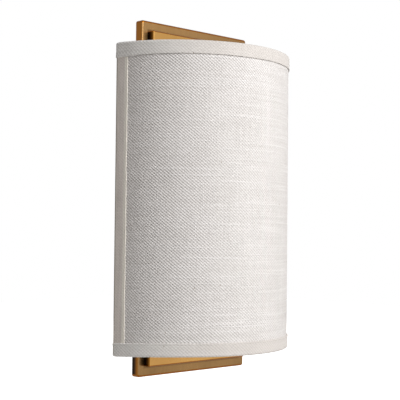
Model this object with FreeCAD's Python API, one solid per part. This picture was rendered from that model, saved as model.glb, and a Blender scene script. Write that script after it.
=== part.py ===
import FreeCAD, Part
import math
import os

# Fabric shade wall light, in millimetres.
# The origin is on the wall, at the centre of the crossbar. +X is to the right as one faces the light,
# +Y points into the wall and +Z is up. A "depth" is a distance off the wall, so it lies at Y = -depth.

# ---- backplate: two pressed pans, one on the other ----
plate_width = 152.4
plate_height = 355.6
base_depth = 8.8
base_sheet = 1.2
border_side = 8.0
border_end = 10.5
panel_rise = 8.0
panel_sheet = 1.2
edge_round = 1.4
window_width = 76.0
window_height = 120.0
window_round = 6.0

# ---- crossbar on the wall box ----
bar_length = 128.0
bar_width = 25.0
bar_thickness = 2.5
bar_corner = 4.0
wall_slot_spacing = 82.6
wall_slot_length = 17.8
wall_slot_width = 5.0
bar_hole_diameter = 10.4
plate_stud_spacing = 113.0
plate_stud_diameter = 4.2
plate_nut_diameter = 13.0
plate_nut_grip = 5.5
plate_nut_dome = 5.0
plate_nut_crown_diameter = 12.2
plate_nut_thread = 7.5
earth_screw_across = 25.0
earth_screw_diameter = 4.0
earth_head_diameter = 8.0
earth_head_height = 2.4
earth_tag_thickness = 0.8
earth_tag_diameter = 8.4
earth_barrel_diameter = 3.8
earth_barrel_length = 5.0
earth_tongue_length = 5.7

# ---- weld studs that hold the panel to the base pan ----
panel_stud_diameter = 4.0
panel_stud_side_inset = 14.0
panel_stud_end_inset = 26.0
panel_stud_reach = 4.4
panel_nut_across_flats = 7.0
panel_nut_height = 3.2

# ---- shade frame, liner, cover and trims ----
shade_half_width = 110.35
shade_projection = 101.6
shade_wall_gap = 10.0
shade_height = 302.6
shade_drop = 1.0
trim_width = 13.3
trim_thickness = 1.0
trim_round = 0.8
end_trim_width = 13.6
end_trim_thickness = 0.55
inner_trim_width = 7.0
cover_thickness = 0.6
liner_thickness = 0.8
wire_diameter = 3.2
glue_gap = 0.08

# ---- rails across the open back of the shade, and the posts they hang on ----
rail_thickness = 1.5
rail_height = 14.0
rail_panel_gap = 3.0
rail_bend_radius = 2.0
rail_step_start = 86.0
rail_step_run = 8.0
post_spacing = 80.0
post_shoulder_diameter = 9.0
post_neck_diameter = 4.0
post_tail_diameter = 7.0
post_tail_height = 1.0
post_rivet_diameter = 5.0
post_neck_spare = 1.0
shade_nut_diameter = 12.0
shade_nut_length = 6.5
shade_nut_chamfer = 0.6

# ---- lamp bracket and its fixings ----
bracket_width = 42.0
bracket_thickness = 2.0
bracket_bend_radius = 2.0
arm_gap = 32.0
arm_nose_radius = 15.0
arm_shoulder_depth = 26.0
arm_taper_depth = 36.0
lamp_depth = 58.0
bracket_screw_spacing = 29.0
bracket_screw_diameter = 4.0
bracket_head_diameter = 7.5
bracket_head_height = 2.4
bracket_screw_reach = 4.2
bracket_nut_across_flats = 7.0
bracket_nut_height = 3.2
head_side_height = 1.4
head_top_diameter = 5.2

# ---- lampholders ----
holder_diameter = 37.0
holder_height = 38.0
holder_foot_diameter = 33.0
holder_foot_height = 11.0
holder_floor = 14.0
holder_pocket = 8.0
holder_rim_ease = 1.2
shell_inner_diameter = 26.8
shell_thickness = 0.6
shell_height = 22.5
contact_diameter = 9.0
contact_top_diameter = 5.4
contact_height = 1.0
nipple_diameter = 10.0
nipple_bore = 7.4
nipple_engagement = 6.0
nipple_spare = 1.0
holder_nut_across_flats = 15.0
holder_nut_height = 4.0

# ---- lamps ----
lamp_length = 92.0
lamp_diameter = 50.0
lamp_cap_diameter = 26.0
lamp_cap_height = 22.0
lamp_cap_foot_diameter = 23.0
lamp_cap_ease = 1.2
lamp_tip_diameter = 9.0
lamp_tip_top_diameter = 6.4
lamp_tip_height = 1.2
lamp_insulator_height = 3.0
lamp_insulator_diameter = 11.0
lamp_collar_base = 29.0
lamp_collar_middle = 34.5
lamp_dome_drop = 12.0
lamp_dome_wall = 1.2

# ---- leads and what they end in ----
lead_diameter = 2.2
lead_pitch = 3.0
lead_level = 1.6
lead_drop_bend = 9.0
lead_turn_bend = 6.6
lead_spread_bend = 20.0
upper_lead_depth = 7.8
lower_lead_depth = 11.0
lead_spread_level = 27.0
grommet_bore = 8.6
grommet_groove_diameter = 11.0
grommet_flange_diameter = 14.5
grommet_flange = 0.9
block_width = 30.0
block_height = 22.0
block_thickness = 11.0
block_top_level = 33.0
block_corner = 1.5
block_ear_width = 9.0
block_ear_height = 15.0
block_ear_thickness = 4.0
block_stud_diameter = 3.0
block_stud_spare = 1.0
block_nut_across_flats = 5.5
block_nut_height = 2.4
pole_pitch = 9.0
pole_slot_width = 3.4
pole_slot_depth = 7.0
terminal_screw_diameter = 3.6
terminal_screw_inset = 4.5
terminal_screw_sink = 0.6
earth_lead_bend = 7.0

# ---- clearances ----
turn_gap = 0.2
slide_gap = 0.3
contact_gap = 0.3
thread_clearance = 0.05
stud_clearance = 0.4
press_clearance = 0.05
seat_gap = 0.05

# ---- places that follow from the sizes above ----
panel_width = plate_width - 2 * border_side
panel_height = plate_height - 2 * border_end
panel_front = base_depth + panel_rise
panel_back = panel_front - panel_sheet
base_back = base_depth - base_sheet

shade_depth = shade_projection - shade_wall_gap
arc_radius = (shade_half_width ** 2 + shade_depth ** 2) / (2 * shade_depth)
arc_centre_depth = shade_projection - arc_radius
shade_top = shade_height / 2 - shade_drop
shade_bottom = shade_top - shade_height

cover_outer = arc_radius - trim_thickness - glue_gap
cover_inner = cover_outer - cover_thickness
liner_outer = cover_inner - glue_gap
liner_inner = liner_outer - liner_thickness
wire_radius = liner_inner - glue_gap - wire_diameter / 2
inner_trim_outer = wire_radius - wire_diameter / 2 - glue_gap
sheet_end_depth = shade_wall_gap + end_trim_thickness + glue_gap
strut_depth = sheet_end_depth + wire_diameter / 2
rim_cover = trim_thickness + trim_round
ring_top_level = shade_top - rim_cover - wire_diameter / 2
ring_bottom_level = shade_bottom + rim_cover + wire_diameter / 2

rail_back = panel_front + rail_panel_gap
rail_front = rail_back + rail_thickness
rail_top_edge = shade_top - inner_trim_width - seat_gap
rail_bottom_edge = shade_bottom + inner_trim_width + seat_gap
post_levels = (rail_top_edge - rail_height / 2, rail_bottom_edge + rail_height / 2)
post_places = [(side * post_spacing / 2, level) for level in post_levels for side in (-1, 1)]
rail_slot_width = post_neck_diameter + 2 * slide_gap

arm_under = arm_gap / 2
holder_seat = arm_under + bracket_thickness
lamp_base_level = holder_seat + holder_floor + contact_height + contact_gap
plate_nut_places = [(side * plate_stud_spacing / 2, 0.0) for side in (-1, 1)]
bracket_screw_places = [(side * bracket_screw_spacing / 2, 0.0) for side in (-1, 1)]
bracket_front = panel_front + bracket_thickness
block_face = panel_back - block_thickness
block_centre_level = -block_top_level - block_height / 2
block_stud_places = [(side * (block_width + block_ear_width) / 2, block_centre_level) for side in (-1, 1)]
pole_places = [-pole_pitch, 0.0, pole_pitch]


def point(across, depth, level):
    return FreeCAD.Vector(across, -depth, level)


def block(width, height, near, far, across=0.0, level=0.0):
    """A box between two depths, centred across and up."""
    corner = point(across - width / 2, far, level - height / 2)
    return Part.makeBox(width, far - near, height, corner)


def round_edges(solid, radius, wanted):
    edges = [edge for edge in solid.Edges if wanted(edge)]
    return solid.makeFillet(radius, edges)


def runs_along(edge, axis):
    start, end = edge.Vertexes[0].Point, edge.Vertexes[-1].Point
    return (end - start).cross(axis).Length < 1e-6


def along_depth(edge):
    return runs_along(edge, FreeCAD.Vector(0, 1, 0))


def peg(place, near, far, diameter):
    """A round bar square to the wall."""
    across, level = place
    return Part.makeCylinder(diameter / 2, far - near, point(across, near, level), FreeCAD.Vector(0, -1, 0))


def upright(place, low, high, diameter):
    """A round bar along Z."""
    across, depth = place
    return Part.makeCylinder(diameter / 2, high - low, point(across, depth, low))


def hexagon(across_flats, origin, axis, height):
    """A hexagonal prism along an axis."""
    radius = across_flats / math.sqrt(3)
    side = FreeCAD.Vector(1, 0, 0)
    other = axis.cross(side)
    corners = []
    for step in range(7):
        angle = math.radians(60 * step)
        corners.append(origin + side * (radius * math.cos(angle)) + other * (radius * math.sin(angle)))
    return Part.Face(Part.makePolygon(corners)).extrude(axis * height)


def hex_nut(place, near, far, across_flats, thread):
    """A hexagon nut on a stud that is square to the wall."""
    across, level = place
    body = hexagon(across_flats, point(across, near, level), FreeCAD.Vector(0, -1, 0), far - near)
    return body.cut(peg(place, near - 1, far + 1, thread + 2 * thread_clearance))


def turned_face(outline, origin, axis):
    """A flat face from a closed outline of (along, radius) points beside an axis."""
    outward = FreeCAD.Vector(1, 0, 0)
    corners = [origin + axis * along + outward * radius for along, radius in outline]
    return Part.Face(Part.makePolygon(corners + corners[:1]))


def turned(outline, origin, axis):
    return turned_face(outline, origin, axis).revolve(origin, axis, 360)


def rounded_edges(corners, radii):
    """Straight edges joined by tangent arcs, from a list of corners and one radius per inner corner."""
    edges = []
    start = corners[0]
    for before, corner, after, radius in zip(corners, corners[1:], corners[2:], radii):
        back = (before - corner).normalize()
        ahead = (after - corner).normalize()
        half_angle = back.getAngle(ahead) / 2
        set_back = radius / math.tan(half_angle)
        first = corner + back * set_back
        last = corner + ahead * set_back
        bisector = (back + ahead).normalize()
        middle = corner + bisector * (radius / math.sin(half_angle) - radius)
        edges.append(Part.LineSegment(start, first).toShape())
        edges.append(Part.Arc(first, middle, last).toShape())
        start = last
    edges.append(Part.LineSegment(start, corners[-1]).toShape())
    return edges


def offset_line(corners, distance):
    """A flat line of (u, v) corners moved to its left by a distance, with mitred corners."""
    normals = []
    for (u0, v0), (u1, v1) in zip(corners, corners[1:]):
        length = math.hypot(u1 - u0, v1 - v0)
        normals.append(((v0 - v1) / length, (u1 - u0) / length))
    ends = [normals[0]] + normals
    starts = normals + [normals[-1]]
    moved = []
    for (u, v), (nu, nv), (mu, mv) in zip(corners, ends, starts):
        stretch = distance / (1 + nu * mu + nv * mv)
        moved.append((u + (nu + mu) * stretch, v + (nv + mv) * stretch))
    return moved


def strip_face(corners, thickness, inside_radius, to_space):
    """The section of a bent strip along a flat centre line; to_space turns (u, v) into a point."""
    sides = []
    for side in (1, -1):
        radii = []
        for (u0, v0), (u1, v1), (u2, v2) in zip(corners, corners[1:], corners[2:]):
            turn = (u1 - u0) * (v2 - v1) - (v1 - v0) * (u2 - u1)
            radii.append(inside_radius if turn * side > 0 else inside_radius + thickness)
        line = [to_space(u, v) for u, v in offset_line(corners, side * thickness / 2)]
        sides.append((line, radii))
    (left, left_radii), (right, right_radii) = sides
    edges = rounded_edges(left, left_radii)
    edges.append(Part.LineSegment(left[-1], right[-1]).toShape())
    edges += rounded_edges(right[::-1], right_radii[::-1])
    edges.append(Part.LineSegment(right[0], left[0]).toShape())
    return Part.Face(Part.Wire(edges))


def tube(corners, radii, diameter, name):
    """A round lead along straight runs and tangent arcs, checked against its section times its length."""
    route = Part.Wire(rounded_edges(corners, radii))
    start = corners[0]
    ring = Part.Wire(Part.makeCircle(diameter / 2, start, corners[1] - start))
    solid = route.makePipeShell([ring], True, False)
    expected = math.pi * diameter ** 2 / 4 * route.Length
    print("%s: length %.1f, volume ratio %.4f, radii %s" % (name, route.Length, solid.Volume / expected, radii))
    return solid


# ---- backplate ----

def eased_block(width, height, near, far, radius):
    """A block with its front edges and its four corners rounded."""
    def wanted(edge):
        in_front = all(abs(vertex.Y + far) < 1e-6 for vertex in edge.Vertexes)
        return in_front or along_depth(edge)
    return round_edges(block(width, height, near, far), radius, wanted)


def pan(width, height, near, far, sheet):
    """A pressed pan: open at the back, one sheet thick, with a rounded front edge."""
    outside = eased_block(width, height, near, far, edge_round)
    inside_round = max(edge_round - sheet, edge_round / 4)
    inside = eased_block(width - 2 * sheet, height - 2 * sheet, near - 1, far - sheet, inside_round)
    return outside.cut(inside)


def panel_stud_places():
    across = panel_width / 2 - panel_stud_side_inset
    level = panel_height / 2 - panel_stud_end_inset
    return [(x, z) for x in (-across, across) for z in (-level, level)]


def base_pan():
    shape = pan(plate_width, plate_height, 0, base_depth, base_sheet)
    window = block(window_width, window_height, 0, base_depth + 1)
    shape = shape.cut(round_edges(window, window_round, along_depth))
    for place in panel_stud_places():
        shape = shape.cut(peg(place, 0, base_depth + 1, panel_stud_diameter + stud_clearance))
    for place in plate_nut_places:
        shape = shape.cut(peg(place, 0, base_depth + 1, plate_stud_diameter + 2 * stud_clearance))
    return shape


def centre_panel():
    shape = pan(panel_width, panel_height, base_depth, panel_front, panel_sheet)
    holes = [(place, plate_stud_diameter + 2 * stud_clearance) for place in plate_nut_places]
    holes += [(place, post_rivet_diameter + 2 * press_clearance) for place in post_places]
    holes += [(place, bracket_screw_diameter + stud_clearance) for place in bracket_screw_places]
    holes.append(((0.0, 0.0), grommet_groove_diameter + 2 * press_clearance))
    for place, diameter in holes:
        shape = shape.cut(peg(place, panel_back - 1, panel_front + 1, diameter))
    return shape


def panel_studs():
    studs = [peg(place, base_back - panel_stud_reach, panel_back, panel_stud_diameter)
             for place in panel_stud_places()]
    return Part.makeCompound(studs)


def panel_nuts():
    nuts = [hex_nut(place, base_back - panel_nut_height, base_back, panel_nut_across_flats,
                    panel_stud_diameter) for place in panel_stud_places()]
    return Part.makeCompound(nuts)


# ---- crossbar, its studs and the nuts that clamp the plate ----

def wall_slot(across):
    straight = wall_slot_length - wall_slot_width
    shape = block(straight, wall_slot_width, -1, bar_thickness + 1, across)
    for side in (-1, 1):
        end = (across + side * straight / 2, 0.0)
        shape = shape.fuse(peg(end, -1, bar_thickness + 1, wall_slot_width))
    return shape.removeSplitter()


def crossbar():
    shape = round_edges(block(bar_length, bar_width, 0, bar_thickness), bar_corner, along_depth)
    for side in (-1, 1):
        shape = shape.cut(wall_slot(side * wall_slot_spacing / 2))
    shape = shape.cut(peg((0.0, 0.0), -1, bar_thickness + 1, bar_hole_diameter))
    for place in plate_nut_places:
        shape = shape.cut(peg(place, -1, bar_thickness + 1, plate_stud_diameter + 2 * press_clearance))
    earth_hole = earth_screw_diameter + 2 * press_clearance
    return shape.cut(peg((earth_screw_across / 2, earth_level()), -1, bar_thickness + 1, earth_hole))


def earth_level():
    """The earth screw stands beside the centre hole, between it and the bar's lower edge."""
    return -bar_width / 4


def plate_studs():
    tip = panel_front + turn_gap + plate_nut_thread - contact_gap
    return Part.makeCompound([peg(place, 0, tip, plate_stud_diameter) for place in plate_nut_places])


def plate_nut(place):
    """A cap nut with a ball-shaped dome and a blind thread."""
    across, level = place
    radius = plate_nut_diameter / 2
    crown = plate_nut_crown_diameter / 2
    seat = panel_front + turn_gap
    grip = seat + plate_nut_grip
    ball = (crown ** 2 + plate_nut_dome ** 2) / (2 * plate_nut_dome)
    half_angle = math.atan2(crown, ball - plate_nut_dome) / 2
    dome_middle = point(across + ball * math.sin(half_angle),
                        grip + plate_nut_dome - ball * (1 - math.cos(half_angle)), level)
    dome_start = point(across + crown, grip, level)
    dome_top = point(across, grip + plate_nut_dome, level)
    edges = Part.makePolygon([dome_top, point(across, seat, level), point(across + radius, seat, level),
                              point(across + radius, grip, level), dome_start]).Edges
    edges.append(Part.Arc(dome_start, dome_middle, dome_top).toShape())
    body = Part.Face(Part.Wire(edges)).revolve(point(across, 0, level), FreeCAD.Vector(0, 1, 0), 360)
    return body.cut(peg(place, seat - 1, seat + plate_nut_thread, plate_stud_diameter + 2 * thread_clearance))


def pan_head_screw(place, tip, seat, shank_diameter, head_diameter, head_height):
    """A screw square to the wall, from its tip to the seat of its pan head."""
    shank = shank_diameter / 2
    head = head_diameter / 2
    return turned([(tip, 0), (tip, shank), (seat, shank), (seat, head), (seat + head_side_height, head),
                   (seat + head_height, head_top_diameter / 2), (seat + head_height, 0)],
                  point(place[0], 0, place[1]), FreeCAD.Vector(0, -1, 0))


def earth_screw():
    place = (earth_screw_across / 2, earth_level())
    seat = bar_thickness + earth_tag_thickness
    return pan_head_screw(place, 0, seat, earth_screw_diameter, earth_head_diameter, earth_head_height)


def earth_tag():
    """A ring tag under the earth screw, with the barrel that takes the lead."""
    across, level = earth_screw_across / 2, earth_level()
    far = bar_thickness + earth_tag_thickness
    ring = peg((across, level), bar_thickness, far, earth_tag_diameter)
    tongue = block(earth_barrel_diameter, earth_tongue_length, bar_thickness, far,
                   across, level - earth_tongue_length / 2)
    top = level - earth_tag_diameter / 2
    barrel = upright((across, barrel_depth()), top - earth_barrel_length, top, earth_barrel_diameter)
    socket = upright((across, barrel_depth()), top - earth_barrel_length, top - 1, lead_diameter + 2 * seat_gap)
    shape = ring.fuse([tongue, barrel]).cut(socket)
    hole = peg((across, level), 0, far + 1, earth_screw_diameter + 2 * press_clearance)
    return shape.cut(hole).removeSplitter()


def barrel_depth():
    return bar_thickness + earth_barrel_diameter / 2


# ---- shade posts and their thumb nuts ----

def shade_post(place):
    """A shouldered post: riveted tail, shoulder in front of the panel, threaded neck through the rail."""
    across, level = place
    shoulder = rail_back - slide_gap
    tip = rail_front + turn_gap + shade_nut_length + post_neck_spare
    neck = post_neck_diameter / 2
    return turned([(panel_back - post_tail_height, 0), (panel_back - post_tail_height, post_tail_diameter / 2),
                   (panel_back, post_tail_diameter / 2), (panel_back, post_rivet_diameter / 2),
                   (panel_front, post_rivet_diameter / 2), (panel_front, post_shoulder_diameter / 2),
                   (shoulder, post_shoulder_diameter / 2), (shoulder, neck), (tip, neck), (tip, 0)],
                  point(across, 0, level), FreeCAD.Vector(0, -1, 0))


def shade_nut(place):
    """A thumb nut that turns on the neck of a post."""
    across, level = place
    seat = rail_front + turn_gap
    end = seat + shade_nut_length
    radius = shade_nut_diameter / 2
    bore = post_neck_diameter / 2 + thread_clearance
    rim = radius - shade_nut_chamfer
    return turned([(seat, bore), (seat, rim), (seat + shade_nut_chamfer, radius),
                   (end - shade_nut_chamfer, radius), (end, rim), (end, bore)],
                  point(across, 0, level), FreeCAD.Vector(0, -1, 0))


# ---- lamp bracket and its fixings ----

def lamp_bracket():
    """A strip bent to a U: its web lies on the panel and its two arms carry the lampholders."""
    web = panel_front + bracket_thickness / 2
    arm = arm_under + bracket_thickness / 2
    nose = lamp_depth + arm_nose_radius
    centre_line = [(nose, arm), (web, arm), (web, -arm), (nose, -arm)]
    half = bracket_width / 2
    section = strip_face(centre_line, bracket_thickness, bracket_bend_radius,
                         lambda depth, level: point(-half, depth, level))
    strip = section.extrude(FreeCAD.Vector(bracket_width, 0, 0))
    height = 2 * holder_seat + 2
    plan = Part.makePolygon([
        point(-half, panel_front, -height / 2), point(-half, arm_shoulder_depth, -height / 2),
        point(-arm_nose_radius, arm_taper_depth, -height / 2), point(-arm_nose_radius, lamp_depth, -height / 2),
        point(arm_nose_radius, lamp_depth, -height / 2), point(arm_nose_radius, arm_taper_depth, -height / 2),
        point(half, arm_shoulder_depth, -height / 2), point(half, panel_front, -height / 2),
        point(-half, panel_front, -height / 2)])
    prism = Part.Face(plan).extrude(FreeCAD.Vector(0, 0, height))
    nose_disc = upright((0.0, lamp_depth), -height / 2, height / 2, 2 * arm_nose_radius)
    shape = strip.common(prism.fuse(nose_disc)).removeSplitter()
    shape = shape.cut(upright((0.0, lamp_depth), -height, height, nipple_diameter + 2 * press_clearance))
    shape = shape.cut(peg((0.0, 0.0), panel_back, bracket_front + 1, grommet_groove_diameter + 2 * press_clearance))
    for place in bracket_screw_places:
        shape = shape.cut(peg(place, panel_back, bracket_front + 1, bracket_screw_diameter + stud_clearance))
    return shape


def bracket_screws():
    """Pan-head screws from the front of the bracket's web to behind the panel."""
    tip = panel_back - bracket_screw_reach
    return Part.makeCompound([pan_head_screw(place, tip, bracket_front, bracket_screw_diameter,
                                             bracket_head_diameter, bracket_head_height)
                              for place in bracket_screw_places])


def bracket_nuts():
    return Part.makeCompound([hex_nut(place, panel_back - bracket_nut_height, panel_back,
                                      bracket_nut_across_flats, bracket_screw_diameter)
                              for place in bracket_screw_places])


# ---- lampholder and lamp, drawn for the upper one; the lower one is its mirror image ----

def on_lamp_axis(level):
    return point(0, lamp_depth, level)


def up():
    return FreeCAD.Vector(0, 0, 1)


def holder_body():
    """A ceramic cup with a pocket below for the nipple and the ends of the leads."""
    outer = holder_diameter / 2
    foot = holder_foot_diameter / 2
    cup = shell_inner_diameter / 2 + shell_thickness + seat_gap
    pocket = nipple_diameter / 2 + press_clearance
    rim = holder_rim_ease
    return turned([(0, pocket), (0, foot - rim), (rim, foot), (holder_foot_height, foot),
                   (holder_foot_height + (outer - foot), outer), (holder_height - rim, outer),
                   (holder_height, outer - rim), (holder_height, cup), (holder_floor, cup), (holder_floor, 0),
                   (holder_pocket, 0), (holder_pocket, pocket)],
                  on_lamp_axis(holder_seat), up())


def holder_shell():
    inner = shell_inner_diameter / 2
    outer = inner + shell_thickness
    top = holder_floor + shell_height
    return turned([(holder_floor, inner), (holder_floor, outer), (top, outer), (top, inner)],
                  on_lamp_axis(holder_seat), up())


def holder_contact():
    top = holder_floor + contact_height
    return turned([(holder_floor, 0), (holder_floor, contact_diameter / 2),
                   (top, contact_top_diameter / 2), (top, 0)], on_lamp_axis(holder_seat), up())


def holder_nipple():
    """A short threaded tube from the lampholder through the arm, with the lock nut on its end."""
    low = -bracket_thickness - holder_nut_height - nipple_spare
    outer = nipple_diameter / 2
    bore = nipple_bore / 2
    return turned([(low, bore), (low, outer), (nipple_engagement, outer), (nipple_engagement, bore)],
                  on_lamp_axis(holder_seat), up())


def holder_nut():
    top = on_lamp_axis(arm_under)
    body = hexagon(holder_nut_across_flats, top, -up(), holder_nut_height)
    bore = nipple_diameter + 2 * thread_clearance
    return body.cut(upright((0.0, lamp_depth), arm_under - holder_nut_height - 1, arm_under + 1, bore))


def lamp_cap():
    """The screw cap with its insulator and centre contact."""
    radius = lamp_cap_diameter / 2
    foot = lamp_insulator_height
    top = foot + lamp_cap_height
    return turned([(0, 0), (0, lamp_tip_top_diameter / 2), (lamp_tip_height, lamp_tip_diameter / 2),
                   (lamp_tip_height, lamp_insulator_diameter / 2), (foot, lamp_cap_foot_diameter / 2),
                   (foot + lamp_cap_ease, radius), (top, radius), (top, 0)],
                  on_lamp_axis(lamp_base_level), up())


def dome_centre():
    return lamp_length - lamp_diameter / 2


def dome_seat():
    """The level of the joint between collar and dome, and the lamp's radius there."""
    level = dome_centre() - lamp_dome_drop
    radius = math.sqrt((lamp_diameter / 2) ** 2 - lamp_dome_drop ** 2)
    return level, radius


def lamp_collar():
    """The flared housing between cap and dome, closed at the top."""
    foot = lamp_insulator_height + lamp_cap_height
    level, radius = dome_seat()
    base = lamp_collar_base / 2
    origin = on_lamp_axis(lamp_base_level)

    def at(along, reach):
        return origin + up() * along + FreeCAD.Vector(reach, 0, 0)
    flare = Part.Arc(at(foot, base), at((foot + level) / 2, lamp_collar_middle / 2), at(level, radius)).toShape()
    rest = Part.makePolygon([at(level, radius), at(level, 0), at(foot, 0), at(foot, base)]).Edges
    return Part.Face(Part.Wire([flare] + rest)).revolve(origin, up(), 360)


def lamp_dome():
    """The opal dome: a ball, hollow inside and open where it stands on the collar."""
    level, radius = dome_seat()
    ball = Part.makeSphere(lamp_diameter / 2, on_lamp_axis(lamp_base_level + dome_centre()))
    hollow = Part.makeSphere(lamp_diameter / 2 - lamp_dome_wall, on_lamp_axis(lamp_base_level + dome_centre()))
    cutter = upright((0.0, lamp_depth), 0, lamp_base_level + level, 2 * lamp_diameter)
    return ball.cut(hollow).cut(cutter)


def lower(shape):
    return shape.mirror(FreeCAD.Vector(0, 0, 0), up())


# ---- grommet, terminal block and leads ----

def grommet():
    flange = grommet_flange_diameter / 2
    groove = grommet_groove_diameter / 2
    bore = grommet_bore / 2
    back, front = panel_back, bracket_front
    return turned([(back - grommet_flange, bore), (back - grommet_flange, flange), (back, flange),
                   (back, groove), (front, groove), (front, flange), (front + grommet_flange, flange),
                   (front + grommet_flange, bore)], point(0, 0, 0), FreeCAD.Vector(0, -1, 0))


def terminal_block():
    """A three-pole block with an ear at each end; leads go in at the top and the supply at the bottom."""
    body = block(block_width, block_height, block_face, panel_back, 0.0, block_centre_level)
    shape = round_edges(body, block_corner, along_depth)
    ears_width = block_width + 2 * block_ear_width
    ears = block(ears_width, block_ear_height, panel_back - block_ear_thickness, panel_back,
                 0.0, block_centre_level)
    shape = shape.fuse(round_edges(ears, block_corner, along_depth)).removeSplitter()
    for place in block_stud_places:
        hole = block_stud_diameter + stud_clearance
        shape = shape.cut(peg(place, block_face - 1, panel_back + 1, hole))
    near = upper_lead_depth - pole_slot_width / 2
    far = lower_lead_depth + pole_slot_width / 2
    for across in pole_places:
        for top in (-block_top_level, -block_top_level - block_height + pole_slot_depth):
            level = top - pole_slot_depth / 2
            shape = shape.cut(block(pole_slot_width, pole_slot_depth, near, far, across, level))
    for place in terminal_screw_places():
        sink = terminal_screw_diameter + 2 * press_clearance
        shape = shape.cut(peg(place, block_face - 1, upper_lead_depth - lead_diameter / 2, sink))
    return shape


def terminal_screw_places():
    top = -block_top_level - terminal_screw_inset
    bottom = -block_top_level - block_height + terminal_screw_inset
    return [(across, level) for across in pole_places for level in (top, bottom)]


def terminal_screws():
    """Screws sunk in the block's face, tightened down onto the leads."""
    near = block_face + terminal_screw_sink
    far = upper_lead_depth - lead_diameter / 2 - seat_gap
    return Part.makeCompound([peg(place, near, far, terminal_screw_diameter)
                              for place in terminal_screw_places()])


def block_studs():
    far = panel_back
    near = far - block_ear_thickness - block_nut_height - block_stud_spare
    return Part.makeCompound([peg(place, near, far, block_stud_diameter) for place in block_stud_places])


def block_nuts():
    far = panel_back - block_ear_thickness
    return Part.makeCompound([hex_nut(place, far - block_nut_height, far, block_nut_across_flats,
                                      block_stud_diameter) for place in block_stud_places])


def lampholder_lead(side, end, turn_depth, pole, name):
    """A lead from a lampholder's pocket, through nipple and grommet, and down into the block."""
    across = side * lead_pitch / 2
    start = point(across, lamp_depth, end * (holder_seat + holder_pocket))
    corner = point(across, lamp_depth, end * lead_level)
    behind = point(across, turn_depth, end * lead_level)
    above = point(pole, turn_depth, -lead_spread_level)
    inside = point(pole, turn_depth, -block_top_level - pole_slot_depth)
    radii = [lead_drop_bend, lead_turn_bend, lead_spread_bend]
    return tube([start, corner, behind, above, inside], radii, lead_diameter, name)


def earth_lead():
    """The lead from the block's earth pole to the tag on the crossbar."""
    pole = pole_places[2]
    depth = (upper_lead_depth + lower_lead_depth) / 2
    tag = earth_screw_across / 2
    tag_level = earth_level() - earth_tag_diameter / 2 - 1
    inside = point(pole, depth, -block_top_level - pole_slot_depth)
    above = point(pole, depth, -lead_spread_level)
    below = point(tag, barrel_depth(), tag_level - earth_barrel_length - 4)
    seat = point(tag, barrel_depth(), tag_level)
    return tube([inside, above, below, seat], [earth_lead_bend, earth_lead_bend], lead_diameter, "earth_lead")


# ---- shade ----

def on_arc(radius, depth, side=1):
    """The point of a circle about the shade's axis that lies at a depth, on one side."""
    reach = math.sqrt(radius ** 2 - (depth - arc_centre_depth) ** 2)
    return FreeCAD.Vector(side * reach, -depth, 0)


def arc_front(radius):
    return FreeCAD.Vector(0, -(arc_centre_depth + radius), 0)


def bent_sheet(inner, outer, end_depth, low, high):
    """A sheet bent round the front of the light, with ends parallel to the wall."""
    edges = [Part.Arc(on_arc(outer, end_depth, -1), arc_front(outer), on_arc(outer, end_depth)).toShape(),
             Part.LineSegment(on_arc(outer, end_depth), on_arc(inner, end_depth)).toShape(),
             Part.Arc(on_arc(inner, end_depth), arc_front(inner), on_arc(inner, end_depth, -1)).toShape(),
             Part.LineSegment(on_arc(inner, end_depth, -1), on_arc(outer, end_depth, -1)).toShape()]
    face = Part.Face(Part.Wire(edges))
    face.translate(FreeCAD.Vector(0, 0, low))
    return face.extrude(FreeCAD.Vector(0, 0, high - low))


def bent_bar(section, end_depth):
    """A section at the right of the shade, swept half round its axis and cut off at a depth."""
    axis = point(0, arc_centre_depth, 0)
    sweep = section.revolve(axis, -up(), 180)
    behind = block(4 * arc_radius, 4 * shade_height, end_depth - arc_radius, end_depth)
    return sweep.cut(behind)


def section_point(radius, level):
    """A point of a section that lies in the plane across the shade's axis."""
    return point(radius, arc_centre_depth, level)


def rim_trim(rim, inward):
    """Tape folded over a rim: outer leg, fold and a short inner leg. inward is -1 at the top."""
    fold = trim_round + trim_thickness
    outer, outer_face = arc_radius, arc_radius - trim_thickness
    inner_face, inner = inner_trim_outer, inner_trim_outer - trim_thickness
    long_leg = rim + inward * trim_width
    short_leg = rim + inward * inner_trim_width
    under = rim + inward * trim_thickness
    corners = [(inner, short_leg), (inner, rim), (outer, rim), (outer, long_leg)]
    back = [(outer_face, long_leg), (outer_face, under), (inner_face, under), (inner_face, short_leg)]
    edges = rounded_edges([section_point(*corner) for corner in corners], [fold, fold])
    edges.append(Part.LineSegment(section_point(*corners[-1]), section_point(*back[0])).toShape())
    edges += rounded_edges([section_point(*corner) for corner in back], [trim_round, trim_round])
    edges.append(Part.LineSegment(section_point(*back[-1]), section_point(*corners[0])).toShape())
    return bent_bar(Part.Face(Part.Wire(edges)), shade_wall_gap)


def ring(level):
    circle = Part.makeCircle(wire_diameter / 2, section_point(wire_radius, level), FreeCAD.Vector(0, 1, 0))
    return bent_bar(Part.Face(Part.Wire(circle)), sheet_end_depth)


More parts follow.
